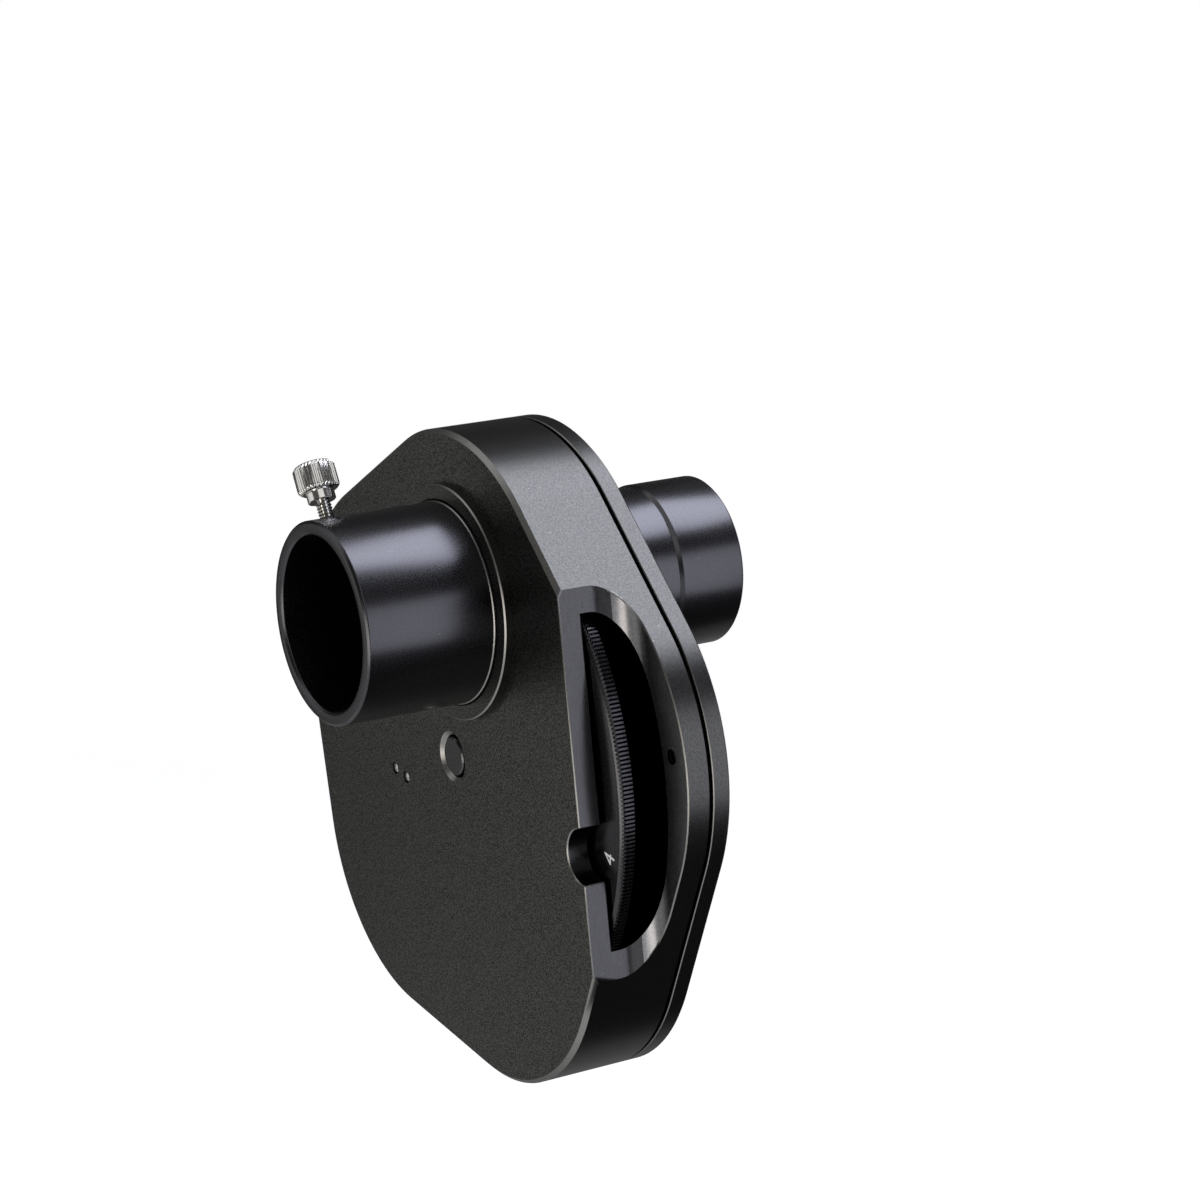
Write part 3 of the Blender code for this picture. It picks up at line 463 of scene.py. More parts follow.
def ribbedTurningRule():
    # turns a section about z and sinks straight grooves into it down to the groove radius
    tree, given = newRule("ribbedTurning", [
        ("Section", "Object", None), ("Section Points", "Int", 12), ("Ribs", "Int", 24),
        ("Steps per Rib", "Int", 8), ("Groove Radius", "Float", 1.0),
        ("Edge Low", "Float", 0.3), ("Edge High", "Float", 0.7), ("Material", "Material", None)])
    steps = calc(tree, "MULTIPLY", given["Ribs"], given["Steps per Rib"])
    net = addNode(tree, "GeometryNodeMeshGrid", {
        "Vertices X": calc(tree, "ADD", steps, 1.0), "Vertices Y": given["Section Points"]})
    # each column of the net is the section at one angle
    index = addNode(tree, "GeometryNodeInputIndex")
    column = calc(tree, "FLOOR", calc(
        tree, "DIVIDE", calc(tree, "ADD", index, 0.5), given["Section Points"]))
    row = calc(tree, "SUBTRACT", index, calc(tree, "MULTIPLY", column, given["Section Points"]))
    section = addNode(tree, "GeometryNodeObjectInfo", {"Object": given["Section"]})
    spot = addNode(tree, "GeometryNodeSampleIndex", {
        "Geometry": section.outputs["Geometry"], "Value": addNode(tree, "GeometryNodeInputPosition"),
        "Index": calc(tree, "ROUND", row)}, data_type="FLOAT_VECTOR")
    parts = addNode(tree, "ShaderNodeSeparateXYZ", {0: spot.outputs["Value"]}).outputs
    # the wave is 0 in the middle of a rib and 1 in the middle of a groove
    phase = calc(tree, "DIVIDE", calc(tree, "MULTIPLY", column, fullTurn), given["Steps per Rib"])
    wave = calc(tree, "MULTIPLY_ADD", calc(tree, "COSINE", phase), -0.5, 0.5)
    groove = addNode(tree, "ShaderNodeMapRange", {
        "Value": wave, "From Min": given["Edge Low"], "From Max": given["Edge High"]},
        interpolation_type="SMOOTHSTEP")
    sunk = calc(tree, "MINIMUM", parts["X"], given["Groove Radius"])
    radius = addNode(tree, "ShaderNodeMix", {"Factor": groove, 2: parts["X"], 3: sunk})
    angle = calc(tree, "MULTIPLY", calc(tree, "DIVIDE", column, steps), fullTurn)
    shaped = addNode(tree, "GeometryNodeSetPosition", {
        "Geometry": net, "Position": onCircle(tree, radius, angle, parts["Z"])})
    merged = addNode(tree, "GeometryNodeMergeByDistance", {"Geometry": shaped, "Distance": 0.002})
    return endRule(tree, merged, given["Material"])


def copiesOnCircleRule():
    # copies of one piece, each turned to face outwards on its circle
    tree, given = newRule("copiesOnCircle", [
        ("Piece", "Object", None), ("Count", "Int", 5), ("Circle Radius", "Float", 1.0),
        ("First Angle", "Float", 0.0), ("Material", "Material", None)])
    index = addNode(tree, "GeometryNodeInputIndex")
    share = calc(tree, "DIVIDE", calc(tree, "MULTIPLY", index, fullTurn), given["Count"])
    angle = calc(tree, "ADD", share, given["First Angle"])
    points = addNode(tree, "GeometryNodePoints", {
        "Count": given["Count"], "Position": onCircle(tree, given["Circle Radius"], angle)})
    facing = addNode(tree, "ShaderNodeCombineXYZ", {"Z": angle})
    piece = addNode(tree, "GeometryNodeObjectInfo", {"Object": given["Piece"]})
    copies = addNode(tree, "GeometryNodeInstanceOnPoints", {
        "Points": points, "Instance": piece.outputs["Geometry"], "Rotation": facing})
    return endRule(tree, copies, given["Material"])


def screwThreadRule():
    # a diamond bead wound on a screw's core, so that its outer half shows as the thread
    tree, given = newRule("screwThread", [
        ("Crest Radius", "Float", 1.5), ("Pitch", "Float", 0.5), ("Depth", "Float", 0.3),
        ("Turns", "Float", 6.0), ("Steps per Turn", "Int", 24), ("Material", "Material", None)])
    middle = calc(tree, "SUBTRACT", given["Crest Radius"], given["Depth"])
    helix = addNode(tree, "GeometryNodeCurveSpiral", {
        "Resolution": given["Steps per Turn"], "Rotations": given["Turns"],
        "Start Radius": middle, "End Radius": middle,
        "Height": calc(tree, "MULTIPLY", given["Turns"], given["Pitch"])})
    upright = addNode(tree, "GeometryNodeSetCurveNormal", {"Curve": helix}, mode="Z_UP")
    bead = addNode(tree, "GeometryNodeCurvePrimitiveCircle", {
        "Resolution": 4, "Radius": given["Depth"]})
    solid = addNode(tree, "GeometryNodeCurveToMesh", {
        "Curve": upright, "Profile Curve": bead, "Fill Caps": True})
    return endRule(tree, solid, given["Material"])


def runRule(tree, values, name):
    item = bpy.data.objects.new(name, bpy.data.meshes.new(name))
    workbench.objects.link(item)
    rule = item.modifiers.new("rule", "NODES")
    rule.node_group = tree
    for socket in tree.interface.items_tree:
        if socket.in_out == "INPUT" and socket.name in values:
            rule[socket.identifier] = values[socket.name]
    mesh = evaluated(item)
    item.modifiers.clear()
    form = bmesh.new()
    form.from_mesh(mesh)
    bmesh.ops.recalc_face_normals(form, faces=form.faces)
    form.to_mesh(mesh)
    form.free()
    item.data = mesh
    return item


def copiesOf(piece, name, radius, material, first=0.0):
    # one for each position of the carousel, on a circle about the origin
    return runRule(copiesOnCircle, {
        "Piece": piece, "Count": layout["positions"], "Circle Radius": radius,
        "First Angle": first, "Material": material}, name)


def sectionLine(name, points):
    # a section for the ribbed turning, as bare points (radius, 0, z)
    mesh = bpy.data.meshes.new(name)
    mesh.from_pydata([(p[0], 0, p[1]) for p in points],
                     [(i, i + 1) for i in range(len(points) - 1)], [])
    item = bpy.data.objects.new(name, mesh)
    workbench.objects.link(item)
    return item


ribbedTurning = ribbedTurningRule()
copiesOnCircle = copiesOnCircleRule()
screwThread = screwThreadRule()
print("rules made")


# The body: a pentagon with large round corners about the axle.

bodyForm = {"cornerReach": 25.3, "cornerRadius": 36.4, "cornerSteps": 24,
            "faceChamfer": 0.8, "seamChamfer": 0.3, "edge": 0.2, "tapRadius": 1.4, "tapDepth": 9,
            "axleHole": 4.05, "axleChamfer": 0.75}
pocketForm = {"turn": math.radians(-4.7), "floor": 45.25, "depth": 12.75, "fillet": 7.0,
              "filletSteps": 18, "notchRadius": 5.05, "notchOffset": -12.35}
ringForm = {"radius": 21.7, "chamfer": 0.25, "counterbore": 18.8, "ledge": 17.3}
leafForm = {"nose": 33.5, "turn": math.radians(-20), "length": 16.6, "tip": 1.8,
            "halfWidth": 2.8, "depth": 1.7, "screws": (9.5, 14.0), "screwHole": 1.15}
past, overlap = 2, 0.5  # how far a cutter reaches out of the metal: with room, and with little


def bodyOutline(inset):
    points = []
    half = layout["step"] / 2
    for corner in range(layout["positions"]):
        middle = corner * layout["step"]
        for k in range(bodyForm["cornerSteps"] + 1):
            angle = middle - half + layout["step"] * k / bodyForm["cornerSteps"]
            points.append(axle + around(bodyForm["cornerReach"], middle)
                          + around(bodyForm["cornerRadius"] - inset, angle))
    return points


def rod(name, radius, low, high, centre=(0, 0), steps=48, material=None):
    return turned(name, [(0, high), (radius, high), (radius, low), (0, low)], steps, material,
                  centre)


def pocketCutter():
    form = pocketForm
    rear = layout["front"] - form["depth"]
    far = bodyForm["cornerReach"] + bodyForm["cornerRadius"] + 3
    section = [(form["floor"], layout["front"] + 3)]
    for k in range(form["filletSteps"] + 1):
        corner = Vector((form["floor"], rear)) + Vector((form["fillet"], form["fillet"]))
        section.append(corner + around(form["fillet"], math.pi * (1 + 0.5 * k / form["filletSteps"])))
    section += [(far, rear), (far, layout["front"] + 3)]
    out = around(1, form["turn"])
    side = around(1, form["turn"] + math.pi / 2)
    verts = []
    for end in (-70, 70):
        for reach, z in section:
            spot = axle + out * reach + side * end
            verts.append((spot.x, spot.y, z))
    count = len(section)
    faces = [tuple(range(count)), tuple(range(count, 2 * count))]
    faces += [(j, (j + 1) % count, (j + 1) % count + count, j + count) for j in range(count)]
    cutter = formed("pocketCutter", verts, faces, milledSkin)
    cutter.data.materials.append(pocketWallLitSkin)
    # the rear wall gets the paler finish, which paints the light on it
    for face in cutter.data.polygons:
        face.material_index = int(face.normal.z < -0.6)
    return cutter


def slotOutline(start, end, half, centre, turn):
    points = []
    for middle, first in ((end - half, -math.pi / 2), (start + half, math.pi / 2)):
        for k in range(13):
            spot = Vector((middle, 0)) + around(half, first + math.pi * k / 12)
            points.append(centre + Matrix.Rotation(turn, 2) @ spot)
    return points


def makeHousing():
    rear, front, wall = layout["shellRear"], layout["front"], layout["wall"]
    shell = raised("shell", bodyOutline, [
        (bodyForm["faceChamfer"], front), (0, front - bodyForm["faceChamfer"]),
        (0, rear + bodyForm["seamChamfer"]), (bodyForm["seamChamfer"], rear)], blastedSkin)
    ring, bevel, face = ringForm["radius"], ringForm["chamfer"], layout["ring"]
    cut(shell, turned("ringBoss", [
        (0, face), (ring - bevel, face), (ring, face - bevel), (ring, front - past),
        (0, front - past)], 144, blastedSkin), "UNION")
    cut(shell, rod("cavity", layout["cavityRadius"], rear - past, wall, axle, 144, milledSkin))
    wide, ledge, seat = ringForm["counterbore"], ringForm["ledge"], layout["holderSeat"]
    inside, outside = 18, 30  # ends of cutters that go right through
    cut(shell, turned("portCutter", [
        (0, outside), (wide, outside), (wide, seat), (ledge, seat), (ledge, inside), (0, inside)],
        144, milledSkin))
    hole, bevel = bodyForm["axleHole"], bodyForm["axleChamfer"]
    cut(shell, turned("axleHole", [
        (0, front + past), (hole + bevel + past, front + past), (hole, front - bevel),
        (hole, inside), (0, inside)], 96, axleSkin, axle))
    cut(shell, pocketCutter())
    out = around(1, pocketForm["turn"])
    side = around(1, pocketForm["turn"] + math.pi / 2)
    notchPlace = axle + out * pocketForm["floor"] + side * pocketForm["notchOffset"]
    cut(shell, rod("notch", pocketForm["notchRadius"], wall - overlap, front + past, notchPlace,
                   96, milledSkin))
    nose = axle + around(leafForm["nose"], math.pi)
    half, turn = leafForm["halfWidth"], leafForm["turn"]
    cut(shell, raised("leafRecess", lambda inset: slotOutline(
        -leafForm["tip"] - half, leafForm["length"] + half, half, nose, turn),
        [(0, wall - overlap), (0, wall + leafForm["depth"])], milledSkin))
    plainHoles = [nose + around(reach, turn) for reach in leafForm["screws"]]
    for spot in plainHoles:
        cut(shell, rod("leafScrewHole", leafForm["screwHole"], wall, front + past, spot, 32,
                       milledSkin))
    tap = rod("tap", bodyForm["tapRadius"], rear - past, rear + bodyForm["tapDepth"], steps=32)
    taps = copiesOf(tap, "tappedHoles", layout["screwCircle"], milledSkin)
    taps.location = (axle.x, axle.y, 0)
    cut(shell, taps)
    plainHoles += [axle + around(layout["screwCircle"], n * layout["step"])
                   for n in range(layout["positions"])]
    slants = (front - bodyForm["faceChamfer"] - 0.1, outside)
    chamferEdges(shell, bodyForm["edge"], [slants], plainHoles)
    attach(settle(shell, "frontShell", sharp=0), "housing", "blasted_black", "front_housing")


def makeCover():
    form = {"edge": 0.1, "seamChamfer": 0.14, "rearChamfer": 0.4, "landInset": 1.4, "core": 4.5,
            "register": (53.9, 51.4, 8.0), "axleBoss": 6.5, "spigotHole": 2.8, "spigotDepth": 3,
            "port": 18.0, "screwHole": 1.4, "sinkRadius": 2.4, "sinkDepth": 0.35}
    rear, front, core = layout["coverRear"], layout["coverFront"], form["core"]
    below, above = rear - past, 9  # clear of the whole cover
    cover = raised("cover", bodyOutline, [
        (form["seamChamfer"], front), (0, front - form["seamChamfer"]),
        (0, rear + form["rearChamfer"]), (form["rearChamfer"], rear)], blastedSkin)
    cut(cover, raised("land", lambda inset: bodyOutline(form["landInset"]),
                      [(0, core), (0, layout["land"])], milledSkin), "UNION")
    outer, inner, top = form["register"]
    cut(cover, turned("register", [(outer, top), (outer, core), (inner, core), (inner, top)], 144,
                      milledSkin, axle, closed=True), "UNION")
    cut(cover, rod("axleBoss", form["axleBoss"], core, layout["boss"], axle, 64, milledSkin),
        "UNION")
    cut(cover, rod("spigotHole", form["spigotHole"], layout["boss"] - form["spigotDepth"], above,
                   axle, 48, milledSkin))
    cut(cover, rod("coverPort", form["port"], below, above, steps=144, material=milledSkin))
    hole, wide, sink = form["screwHole"], form["sinkRadius"], rear + form["sinkDepth"]
    countersink = turned("countersink", [
        (0, above), (hole, above), (hole, sink + wide - hole), (wide, sink), (wide, below),
        (0, below)], 48)
    sinks = copiesOf(countersink, "countersinks", layout["screwCircle"], milledSkin)
    sinks.location = (axle.x, axle.y, 0)
    cut(cover, sinks)
    chamferEdges(cover, form["edge"], [(front - form["seamChamfer"] - 0.01, front)])
    attach(settle(cover, "rearCover", sharp=0), "housing", "blasted_black", "rear_cover")


def makeCoverScrews():
    form = {"core": 1.0, "radius": 1.25, "headRadius": 2.25, "length": 7.5, "sunk": 0.15,
            "rim": 0.2, "point": 0.25, "recess": 1.1, "recessWidth": 0.45, "recessDepth": 0.9}
    radius, wide = form["radius"], form["headRadius"]
    head = layout["coverRear"] + form["sunk"]
    grip, end = head + form["rim"], head + form["length"]
    screw = turned("oneScrew", eased([
        (0, end), (form["core"], end), (radius, end - form["point"]),
        (radius, grip + wide - radius), (wide, grip), (wide, head), (0, head)],
        0.06, closed=False), 48)
    for turn in (0, 1):  # the two slots of the cross recess, narrower at the bottom
        reach, half = form["recess"], form["recessWidth"] / 2
        verts = []
        for z, long, across in ((head - overlap, reach * 1.2, half),
                                (head + form["recessDepth"], reach * 0.5, half * 0.6)):
            for x, y in ((-long, -across), (long, -across), (long, across), (-long, across)):
                verts.append((y, x, z) if turn else (x, y, z))
        cut(screw, formed("recessCutter", verts, [
            (0, 1, 2, 3), (4, 5, 6, 7), (0, 1, 5, 4), (1, 2, 6, 5), (2, 3, 7, 6), (3, 0, 4, 7)]))
    screw.data = evaluated(screw)
    screw.modifiers.clear()
    screws = copiesOf(screw, "screwCopies", layout["screwCircle"], oxideSteel)
    attach(settle(screws, "coverScrews", drawing @ atAxle), "housing", "black_steel",
           *[f"cover_screw_{n}" for n in range(1, 6)])


makeHousing()
makeCover()
makeCoverScrews()


# The carousel and its numbers.

def makeCarousel():
    form = {"ribs": 432, "ribDepth": 0.38, "chamfer": 0.6, "threadPitch": 0.6, "threadDepth": 0.28,
            "seatChamfer": 0.4, "dimple": 1.8, "dimpleCentre": 1.15}
    groove = layout["wheelRadius"] - form["ribDepth"]
    front, rear, edge = layout["wheelFront"], layout["wheelRear"], form["chamfer"]
    # the rim's corner, as (outwards from the grooves, inwards from the face)
    corner = [(-edge - 0.06, 0), (0.04 - edge, 0.05), (0, edge), (0.01, edge + 0.03),
              (form["ribDepth"], edge + 0.18)]
    hub, bore, recess, bevel, low = 9.0, 5.9, 7.8, 0.2, layout["hubRear"]
    points = [(recess, front)] + [(groove + out, front - down) for out, down in corner]
    points += [(groove + out, rear + down) for out, down in reversed(corner)]
    points += [(hub, rear), (hub, low + bevel), (hub - bevel, low), (bore + bevel, low),
               (bore, low + bevel), (bore, layout["hubFace"]), (recess, layout["hubFace"]),
               (recess, front)]
    wheel = runRule(ribbedTurning, {
        "Section": sectionLine("wheelSection", points), "Section Points": len(points),
        "Ribs": form["ribs"], "Steps per Rib": 4, "Groove Radius": groove,
        "Edge Low": 0.52, "Edge High": 0.98, "Material": wheelSkin}, "wheelBlank")
    wheel.data.materials.append(cutEdgeSkin)
    for face in wheel.data.polygons:
        if slanted(face) and face.center.xy.length > groove - edge:
            face.material_index = 1
    seat, depth = layout["seatRadius"], form["threadDepth"]
    flare = seat + form["seatChamfer"] + 1
    thread = [(0, front + 1), (flare, front + 1), (seat + depth / 2, front - 0.25)]
    z = front - 0.4
    while z > rear + 0.5:
        thread += [(seat - 0.02, z), (seat + depth, z - form["threadPitch"] / 2)]
        z -= form["threadPitch"]
    thread += [(seat, rear + 0.3), (flare, rear - 1), (0, rear - 1)]
    cut(wheel, copiesOf(turned("seatCutter", thread, 96), "seatCutters", layout["seatCircle"],
                        wheelSkin))
    ball, middle = form["dimple"], front + form["dimpleCentre"]
    ballRows = [(ball * math.sin(math.pi * k / 12), middle + ball * math.cos(math.pi * k / 12))
                for k in range(13)]
    cut(wheel, copiesOf(turned("dimpleCutter", ballRows, 32), "dimples", leafForm["nose"],
                        wheelSkin, math.pi))
    place = drawing @ atAxle
    attach(settle(wheel, "ribbedCarousel", place, 32), "carousel", "machined_black", "filter_carousel")


def makeNumbers():
    form = {"height": 3.3, "narrowing": 0.9, "radius": 47.9, "fourAt": math.radians(-20.9),
            "paint": 0.04}
    merged = bmesh.new()
    for number in range(1, layout["positions"] + 1):
        text = bpy.data.curves.new("digit", "FONT")
        text.body = str(number)
        text.extrude = form["paint"] / 2
        text.resolution_u = 4
        item = bpy.data.objects.new("digit", text)
        workbench.objects.link(item)
        mesh = evaluated(item)
        xs = [v.co.x for v in mesh.vertices]
        ys = [v.co.y for v in mesh.vertices]
        size = form["height"] / (max(ys) - min(ys))
        middle = Vector(((max(xs) + min(xs)) / 2, (max(ys) + min(ys)) / 2, 0))
        angle = form["fourAt"] + (number - 4) * layout["step"]
        spot = axle + around(form["radius"], angle)
        mesh.transform(Matrix.Translation((spot.x, spot.y, layout["wheelFront"] + form["paint"] / 2))
                       @ Matrix.Rotation(angle + math.pi / 2, 4, "Z")
                       @ Matrix.Diagonal((size * form["narrowing"], size, 1, 1))
                       @ Matrix.Translation(-middle))
        merged.from_mesh(mesh)
    mesh = bpy.data.meshes.new("numbers")
    merged.to_mesh(mesh)
    merged.free()
    mesh.materials.append(whitePaint)
    item = bpy.data.objects.new("numbers", mesh)
    workbench.objects.link(item)
    attach(settle(item, "positionNumbers"), "carousel", "nylon")


makeCarousel()
makeNumbers()


# Turned pieces on the light path and on the axle.

def threadRows(radius, depth, start, end, pitch):
    # the zigzag of a fine internal thread in a profile, from one height to another
    rows, z, step = [], start, pitch if end > start else -pitch
    while (end - z) * step > abs(step) * pitch:
        rows += [(radius, z + step * 0.25), (radius + depth, z + step * 0.75)]
        z += step
    return rows


def makeHolder():
    outer, bore, spigot, collar = layout["holderRadius"], layout["holderBore"], 17.0, 18.68
    front, rear, seat = layout["holderFront"], layout["holderRear"], layout["holderSeat"] + 0.3
    lip, sideFrom, root = 0.5, 30, 26.62
    tube = turned("tube", eased([
        (spigot, rear), (bore, rear), (bore, front - lip), (bore + lip, front),
        (outer - lip, front), (outer, front - lip), (outer, sideFrom)], 0.12, closed=False) + [
            (outer, root), (collar, root - collar + outer), (collar, seat), (spigot, seat)],
        144, holderSkin, closed=True)
    tube.data.materials.append(cutEdgeSkin)
    for face in tube.data.polygons:
        if root - 0.25 < face.center.z < root and abs(face.normal.z) > 0.3:
            face.material_index = 1
    wide, narrow, inside, outside = 3.2, 1.65, 8, 25
    hole = turned("screwHole", [
        (0, outside), (wide, outside), (wide, outer + 0.4), (narrow, outer - 0.3), (narrow, inside),
        (0, inside)], 48, holderSkin)
    hole.data.transform(Matrix.Translation((0, 0, layout["thumbscrewAt"])) @ screwTilt)
    cut(tube, hole)
    attach(settle(tube, "eyepieceTube", sharp=30), "housing", "satin_black", "eyepiece_holder")


def makeNosepiece():
    spigot, flange, barrel, bore, thread = 17.7, 21.0, 15.87, 13.2, 14.05  # radii
    top, flangeTop, end, threadEnd, bevel = 6.55, 2.6, -28.0, -24.0, 0.4
    profile = [
        (spigot, top), (spigot, flangeTop), (flange - bevel, flangeTop), (flange, flangeTop - bevel),
        (flange, bevel), (flange - bevel, 0), (barrel, 0), (barrel, -5.0), (barrel - bevel, -5.8),
        (barrel - bevel, -14.2), (barrel, -15.0), (barrel, end + bevel), (barrel - bevel, end),
        (14.5, end)]
    inner = [(thread + 0.05, threadEnd), (bore, threadEnd), (bore, top - 0.1), (bore + 0.1, top)]
    nose = turned("nose", eased(profile, 0.1, closed=False)
                  + threadRows(thread, 0.22, end + 0.5, threadEnd, 0.6) + inner,
                  144, holderSkin, closed=True)
    attach(settle(nose, "nosepieceBarrel", sharp=28), "housing", "satin_black", "nosepiece")


def makeAxle():
    head, flange, journal, groove, spigot = 3.6, 6.5, 4.0, 3.2, 2.5  # radii
    end, flangeFront, flangeRear = layout["front"] - 0.15, 19.85, 18.65
    grooveFront, grooveRear, shoulder, rear, bevel = 9.3, 8.5, 7.6, 4.6, 0.3
    # it starts with the small centre mark in the end
    shaft = turned("shaft", [
        (0, end - bevel), (0.34, end), (0.42, end), (head - 0.4, end)] + eased([
            (head - bevel, end), (head, end - bevel), (head, flangeFront), (flange, flangeFront),
            (flange, flangeRear), (journal, flangeRear), (journal, grooveFront),
            (groove, grooveFront), (groove, grooveRear), (journal, grooveRear),
            (journal, shoulder), (spigot, shoulder), (spigot, rear), (0, rear)],
            0.08, closed=False), 96, axleSkin)
    attach(settle(shaft, "axleShaft", drawing @ atAxle, 30),
           "housing", "satin_black", "wheel_axle")


def makeDetentScrews():
    form = {"root": 21.4, "tip": 24.3, "radius": 1.1, "core": 0.9, "pitch": 0.4, "threadDepth": 0.2,
            "turns": 6.0, "head": 1.9, "headHeight": 0.9}
    nose = axle + around(leafForm["nose"], math.pi)
    tip, root, core, head = form["tip"], form["root"], form["core"], form["head"]
    low = root - form["headHeight"]
    for number, reach in enumerate(leafForm["screws"], 1):
        screw = turned("screwCore", eased([
            (0, tip), (0.4, tip - 0.04), (0.75, tip - 0.2), (core, tip - 0.45), (core, root),
            (head, root), (head, low), (0, low)], 0.05, closed=False), 40, cutSteel)
        bead = runRule(screwThread, {
            "Crest Radius": form["radius"], "Pitch": form["pitch"], "Depth": form["threadDepth"],
            "Turns": form["turns"], "Material": cutSteel}, "tipThread")
        bead.data.transform(Matrix.Translation((0, 0, root + form["threadDepth"])))
        joinTo(screw, bead)
        spot = nose + around(reach, leafForm["turn"])
        place = drawing @ Matrix.Translation((spot.x, spot.y, 0))
        attach(settle(screw, f"leafScrew{number}", place), "housing", "steel", f"detent_screw_{number}")


def makeThumbscrew():
    form = {"tip": 16.2, "collarLow": 22.3, "headLow": 24.1, "top": 29.4, "headRadius": 3.9,
            "ribs": 32, "ribDepth": 0.40, "collarRadius": 2.6, "core": 1.0, "crest": 1.45,
            "pitch": 0.6, "threadDepth": 0.4}
    head, top, groove = form["headRadius"], form["top"], form["headRadius"] - form["ribDepth"]
    low, collar, rest = form["headLow"], form["collarRadius"], form["collarLow"]
    core, tip = form["core"], form["tip"]
    points = [(0, top - 0.12), (1.0, top - 0.05), (2.2, top), (groove - 0.35, top - 0.06),
              (groove - 0.08, top - 0.2), (groove, top - 0.32), (head - 0.08, top - 0.62),
              (head, top - 0.85), (head, low + 0.75), (head - 0.1, low + 0.5), (groove, low + 0.2),
              (groove - 0.2, low + 0.06), (groove - 0.45, low), (collar, low),
              (collar, rest + 0.12), (collar - 0.12, rest), (core, rest),
              (core, tip + 0.3), (core - 0.25, tip), (0, tip)]
    knob = runRule(ribbedTurning, {
        "Section": sectionLine("knobSection", points), "Section Points": len(points),
        "Ribs": form["ribs"], "Steps per Rib": 8, "Groove Radius": groove,
        "Edge Low": 0.35, "Edge High": 0.75, "Material": nickelPlate}, "knob")
    turns = (rest - tip - 0.5) / form["pitch"]
    # the thread takes the darker finish, which paints its shade
    bead = runRule(screwThread, {
        "Crest Radius": form["crest"], "Pitch": form["pitch"], "Depth": form["threadDepth"],
        "Turns": turns, "Material": shadedThread}, "knobThread")
    bead.data.transform(Matrix.Translation((0, 0, tip + 0.3)))
    joinTo(knob, bead, 1)
    knob.data.materials.append(shadedThread)
    place = drawing @ Matrix.Translation((0, 0, layout["thumbscrewAt"])) @ screwTilt
    attach(settle(knob, "ribbedThumbscrew", place, 40), "clamp_screw", "nickel", "thumbscrew")


# the thumbscrew's axis: 108 degrees round the tube, square to the light path
screwTilt = Matrix.Rotation(math.radians(108), 4, "Z") @ Matrix.Rotation(math.pi / 2, 4, "Y")
makeHolder()
makeNosepiece()
makeAxle()
makeDetentScrews()
makeThumbscrew()

for node, material in (("hub_bushing", turnedBrass), ("front_thrust_washer", naturalNylon),
                       ("rear_thrust_washer", naturalNylon), ("axle_clip", rolledSteel),
                       ("detent_leaf", rolledSteel)):
    for place in frame["nodes"][node].material_slots:
        place.material = material
for item in list(workbench.objects):
    bpy.data.objects.remove(item)
bpy.data.collections.remove(workbench)
print("pieces made")


# The studio: a plain pale floor, a white surround and soft lamps.

def aimedLamp(name, direction, distance, size, power, tone):
    lamp = bpy.data.lights.new(name, "AREA")
    lamp.shape = "RECTANGLE"
    lamp.size, lamp.size_y = size
    lamp.energy = power
    lamp.color = linearColour(tone)[:3]
    item = bpy.data.objects.new(name, lamp)
    direction = Vector(direction).normalized()
    item.location = direction * distance + Vector((0, -0.015, -0.02))
    item.rotation_euler = direction.to_track_quat("Z", "Y").to_euler()
    item.visible_camera = False
    bpy.context.scene.collection.objects.link(item)


def seenDirectly(tree):
    # 1 for what the camera sees, mirrored or not, and 0 for what only lights the object
    ray = addNode(tree, "ShaderNodeLightPath").outputs
    return calc(tree, "MAXIMUM", calc(tree, "MAXIMUM", ray["Is Camera Ray"], ray["Is Glossy Ray"]),
                ray["Is Transmission Ray"])


def stagePanel(name, spans, material):
    # spans are (low, high) along x, y and z, with the same number twice where the panel is flat
    first, second = [axis for axis in range(3) if spans[axis][0] < spans[axis][1]]
    corners = []
    for a, b in ((0, 0), (1, 0), (1, 1), (0, 1)):
        corner = [span[0] for span in spans]
        corner[first], corner[second] = spans[first][a], spans[second][b]
        corners.append(corner)
    mesh = bpy.data.meshes.new(name)
    mesh.from_pydata(corners, [], [(0, 1, 2, 3)])
    mesh.materials.append(material)
    item = bpy.data.objects.new(name, mesh)
    bpy.context.scene.collection.objects.link(item)
    return item


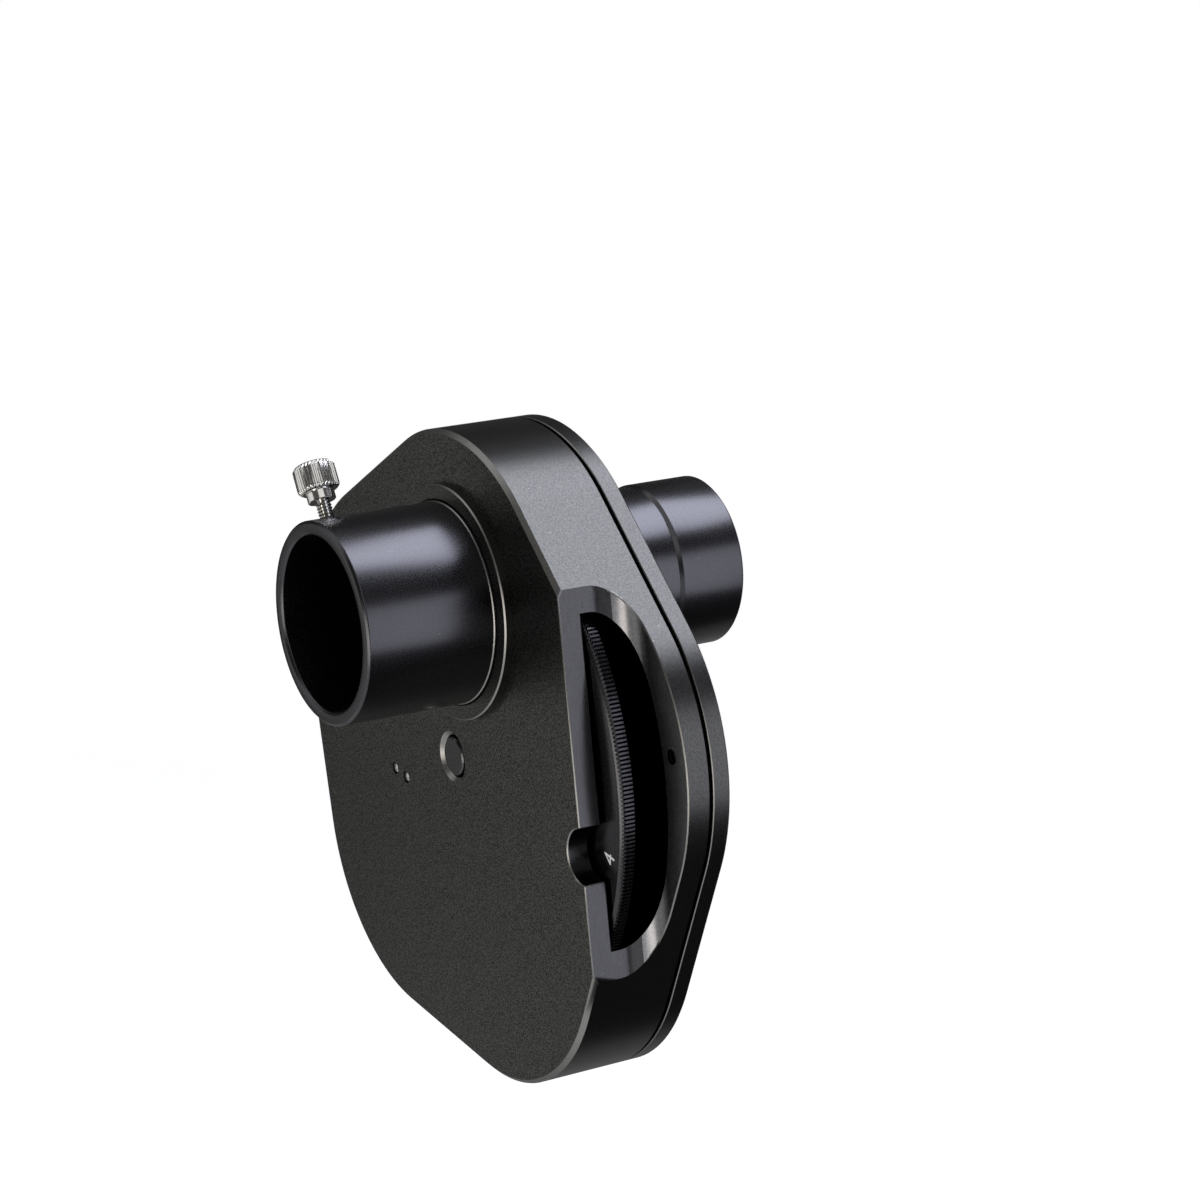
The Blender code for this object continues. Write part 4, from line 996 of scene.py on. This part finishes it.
def makeStudio():
    lamps = {
        "upperSoftbox": ((0.255, 0.492, 0.832), 0.80, (0.56, 0.50), 6.3, "#eef0ff"),
        "sideSoftbox": ((0.870, 0.47, -0.150), 0.40, (0.32, 0.34), 0.72, "#f2f3ff"),
        "frontSoftbox": ((0.42, -0.87, -0.22), 0.42, (0.14, 0.28), 0.42, "#fff8f0"),
    }
    for name, settings in lamps.items():
        aimedLamp(name, *settings)

    world = bpy.data.worlds.new("studioWorld")
    world.use_nodes = True
    tree = world.node_tree
    tree.nodes.clear()
    fill = addNode(tree, "ShaderNodeBackground", {"Color": linearColour("#f4f5ff"), "Strength": 0.35})
    white = addNode(tree, "ShaderNodeBackground", {"Color": (1, 1, 1, 1), "Strength": 1.0})
    mixed = addNode(tree, "ShaderNodeMixShader", {0: seenDirectly(tree), 1: fill, 2: white})
    addNode(tree, "ShaderNodeOutputWorld", {"Surface": mixed})
    bpy.context.scene.world = world

    floorPaint, tree, shader = newFinish("paleFloorPaint", {
        "Base Color": linearColour("#d8d8d8"), "Roughness": 0.9, "Emission Color": (1, 1, 1, 1)})
    glow = calc(tree, "MULTIPLY", seenDirectly(tree), 0.75)
    tree.links.new(glow.outputs[0], shader.inputs["Emission Strength"])
    stagePanel("floor", [(-6, 6), (-6, 6), (-0.28, -0.28)], floorPaint)
    # grey and black cards round the object, as in product photography, which glow at their level: only
    # reflections see them
    cards = {
        "rearCard": (0.12, (-3, 3), (0.9, 0.9), (-0.27, 3)),
        "lowCard": (0.03, (-0.05, 1.2), (-0.05, 0.9), (-0.27, -0.27)),
        "lowFrontCard": (0.35, (-1, 0.3), (-1.2, -0.05), (-0.27, -0.27)),
        "lowNearCard": (0.9, (-0.25, 0.15), (-0.45, -0.1), (-0.26, -0.26)),
        "lowLeftCard": (0.22, (-1, -0.05), (-0.05, 0.9), (-0.27, -0.27)),
        "sideCard": (0.06, (1.2, 1.2), (0.05, 0.9), (-0.27, 2)),
        "lowSideCard": (0.05, (1.2, 1.2), (-1.2, 0.05), (-0.27, 0.25)),
        "leftCard": (0.05, (-1, -1), (-0.53, 0.9), (-0.27, 2)),
        "leftFrontCard": (0.66, (-1, -1), (-1.2, -0.53), (-0.27, 2)),
        "frontLeftCard": (0.90, (-1, -0.1), (-1.2, -1.2), (-0.27, 0.3)),
        "frontCard": (0.08, (-0.1, 1.2), (-1.2, -1.2), (-0.27, 2.6)),
    }
    for name, (level, *spans) in cards.items():
        glowPanel = newFinish(name + "Glow", {
            "Base Color": (0, 0, 0, 1), "Roughness": 1.0, "Emission Strength": level,
            "Emission Color": (1, 1, 1, 1)})[0]
        panel = stagePanel(name, spans, glowPanel)
        panel.visible_camera = False
        panel.visible_diffuse = False
        panel.visible_shadow = False


def makeCamera():
    # solved from the photograph's outlines: nearly level, 60 degrees round from the eyepiece side
    shot = {"lens": 101.7326, "place": (0.5459026, -0.3037852, 0.0433704),
            "right": (0.4975477, 0.8573673, -0.1317861), "up": (-0.0003290, 0.1521124, 0.9883631),
            "back": (0.8674366, -0.4917144, 0.0759652)}
    data = bpy.data.cameras.new("viewCamera")
    data.lens = shot["lens"]
    data.sensor_width = 36.0
    data.clip_start = 0.01
    camera = bpy.data.objects.new("viewCamera", data)
    columns = Matrix((shot["right"], shot["up"], shot["back"])).transposed()
    camera.matrix_world = Matrix.Translation(shot["place"]) @ columns.to_4x4()
    bpy.context.scene.collection.objects.link(camera)
    bpy.context.scene.camera = camera


makeStudio()
makeCamera()
bpy.context.scene.view_settings.view_transform = "Standard"
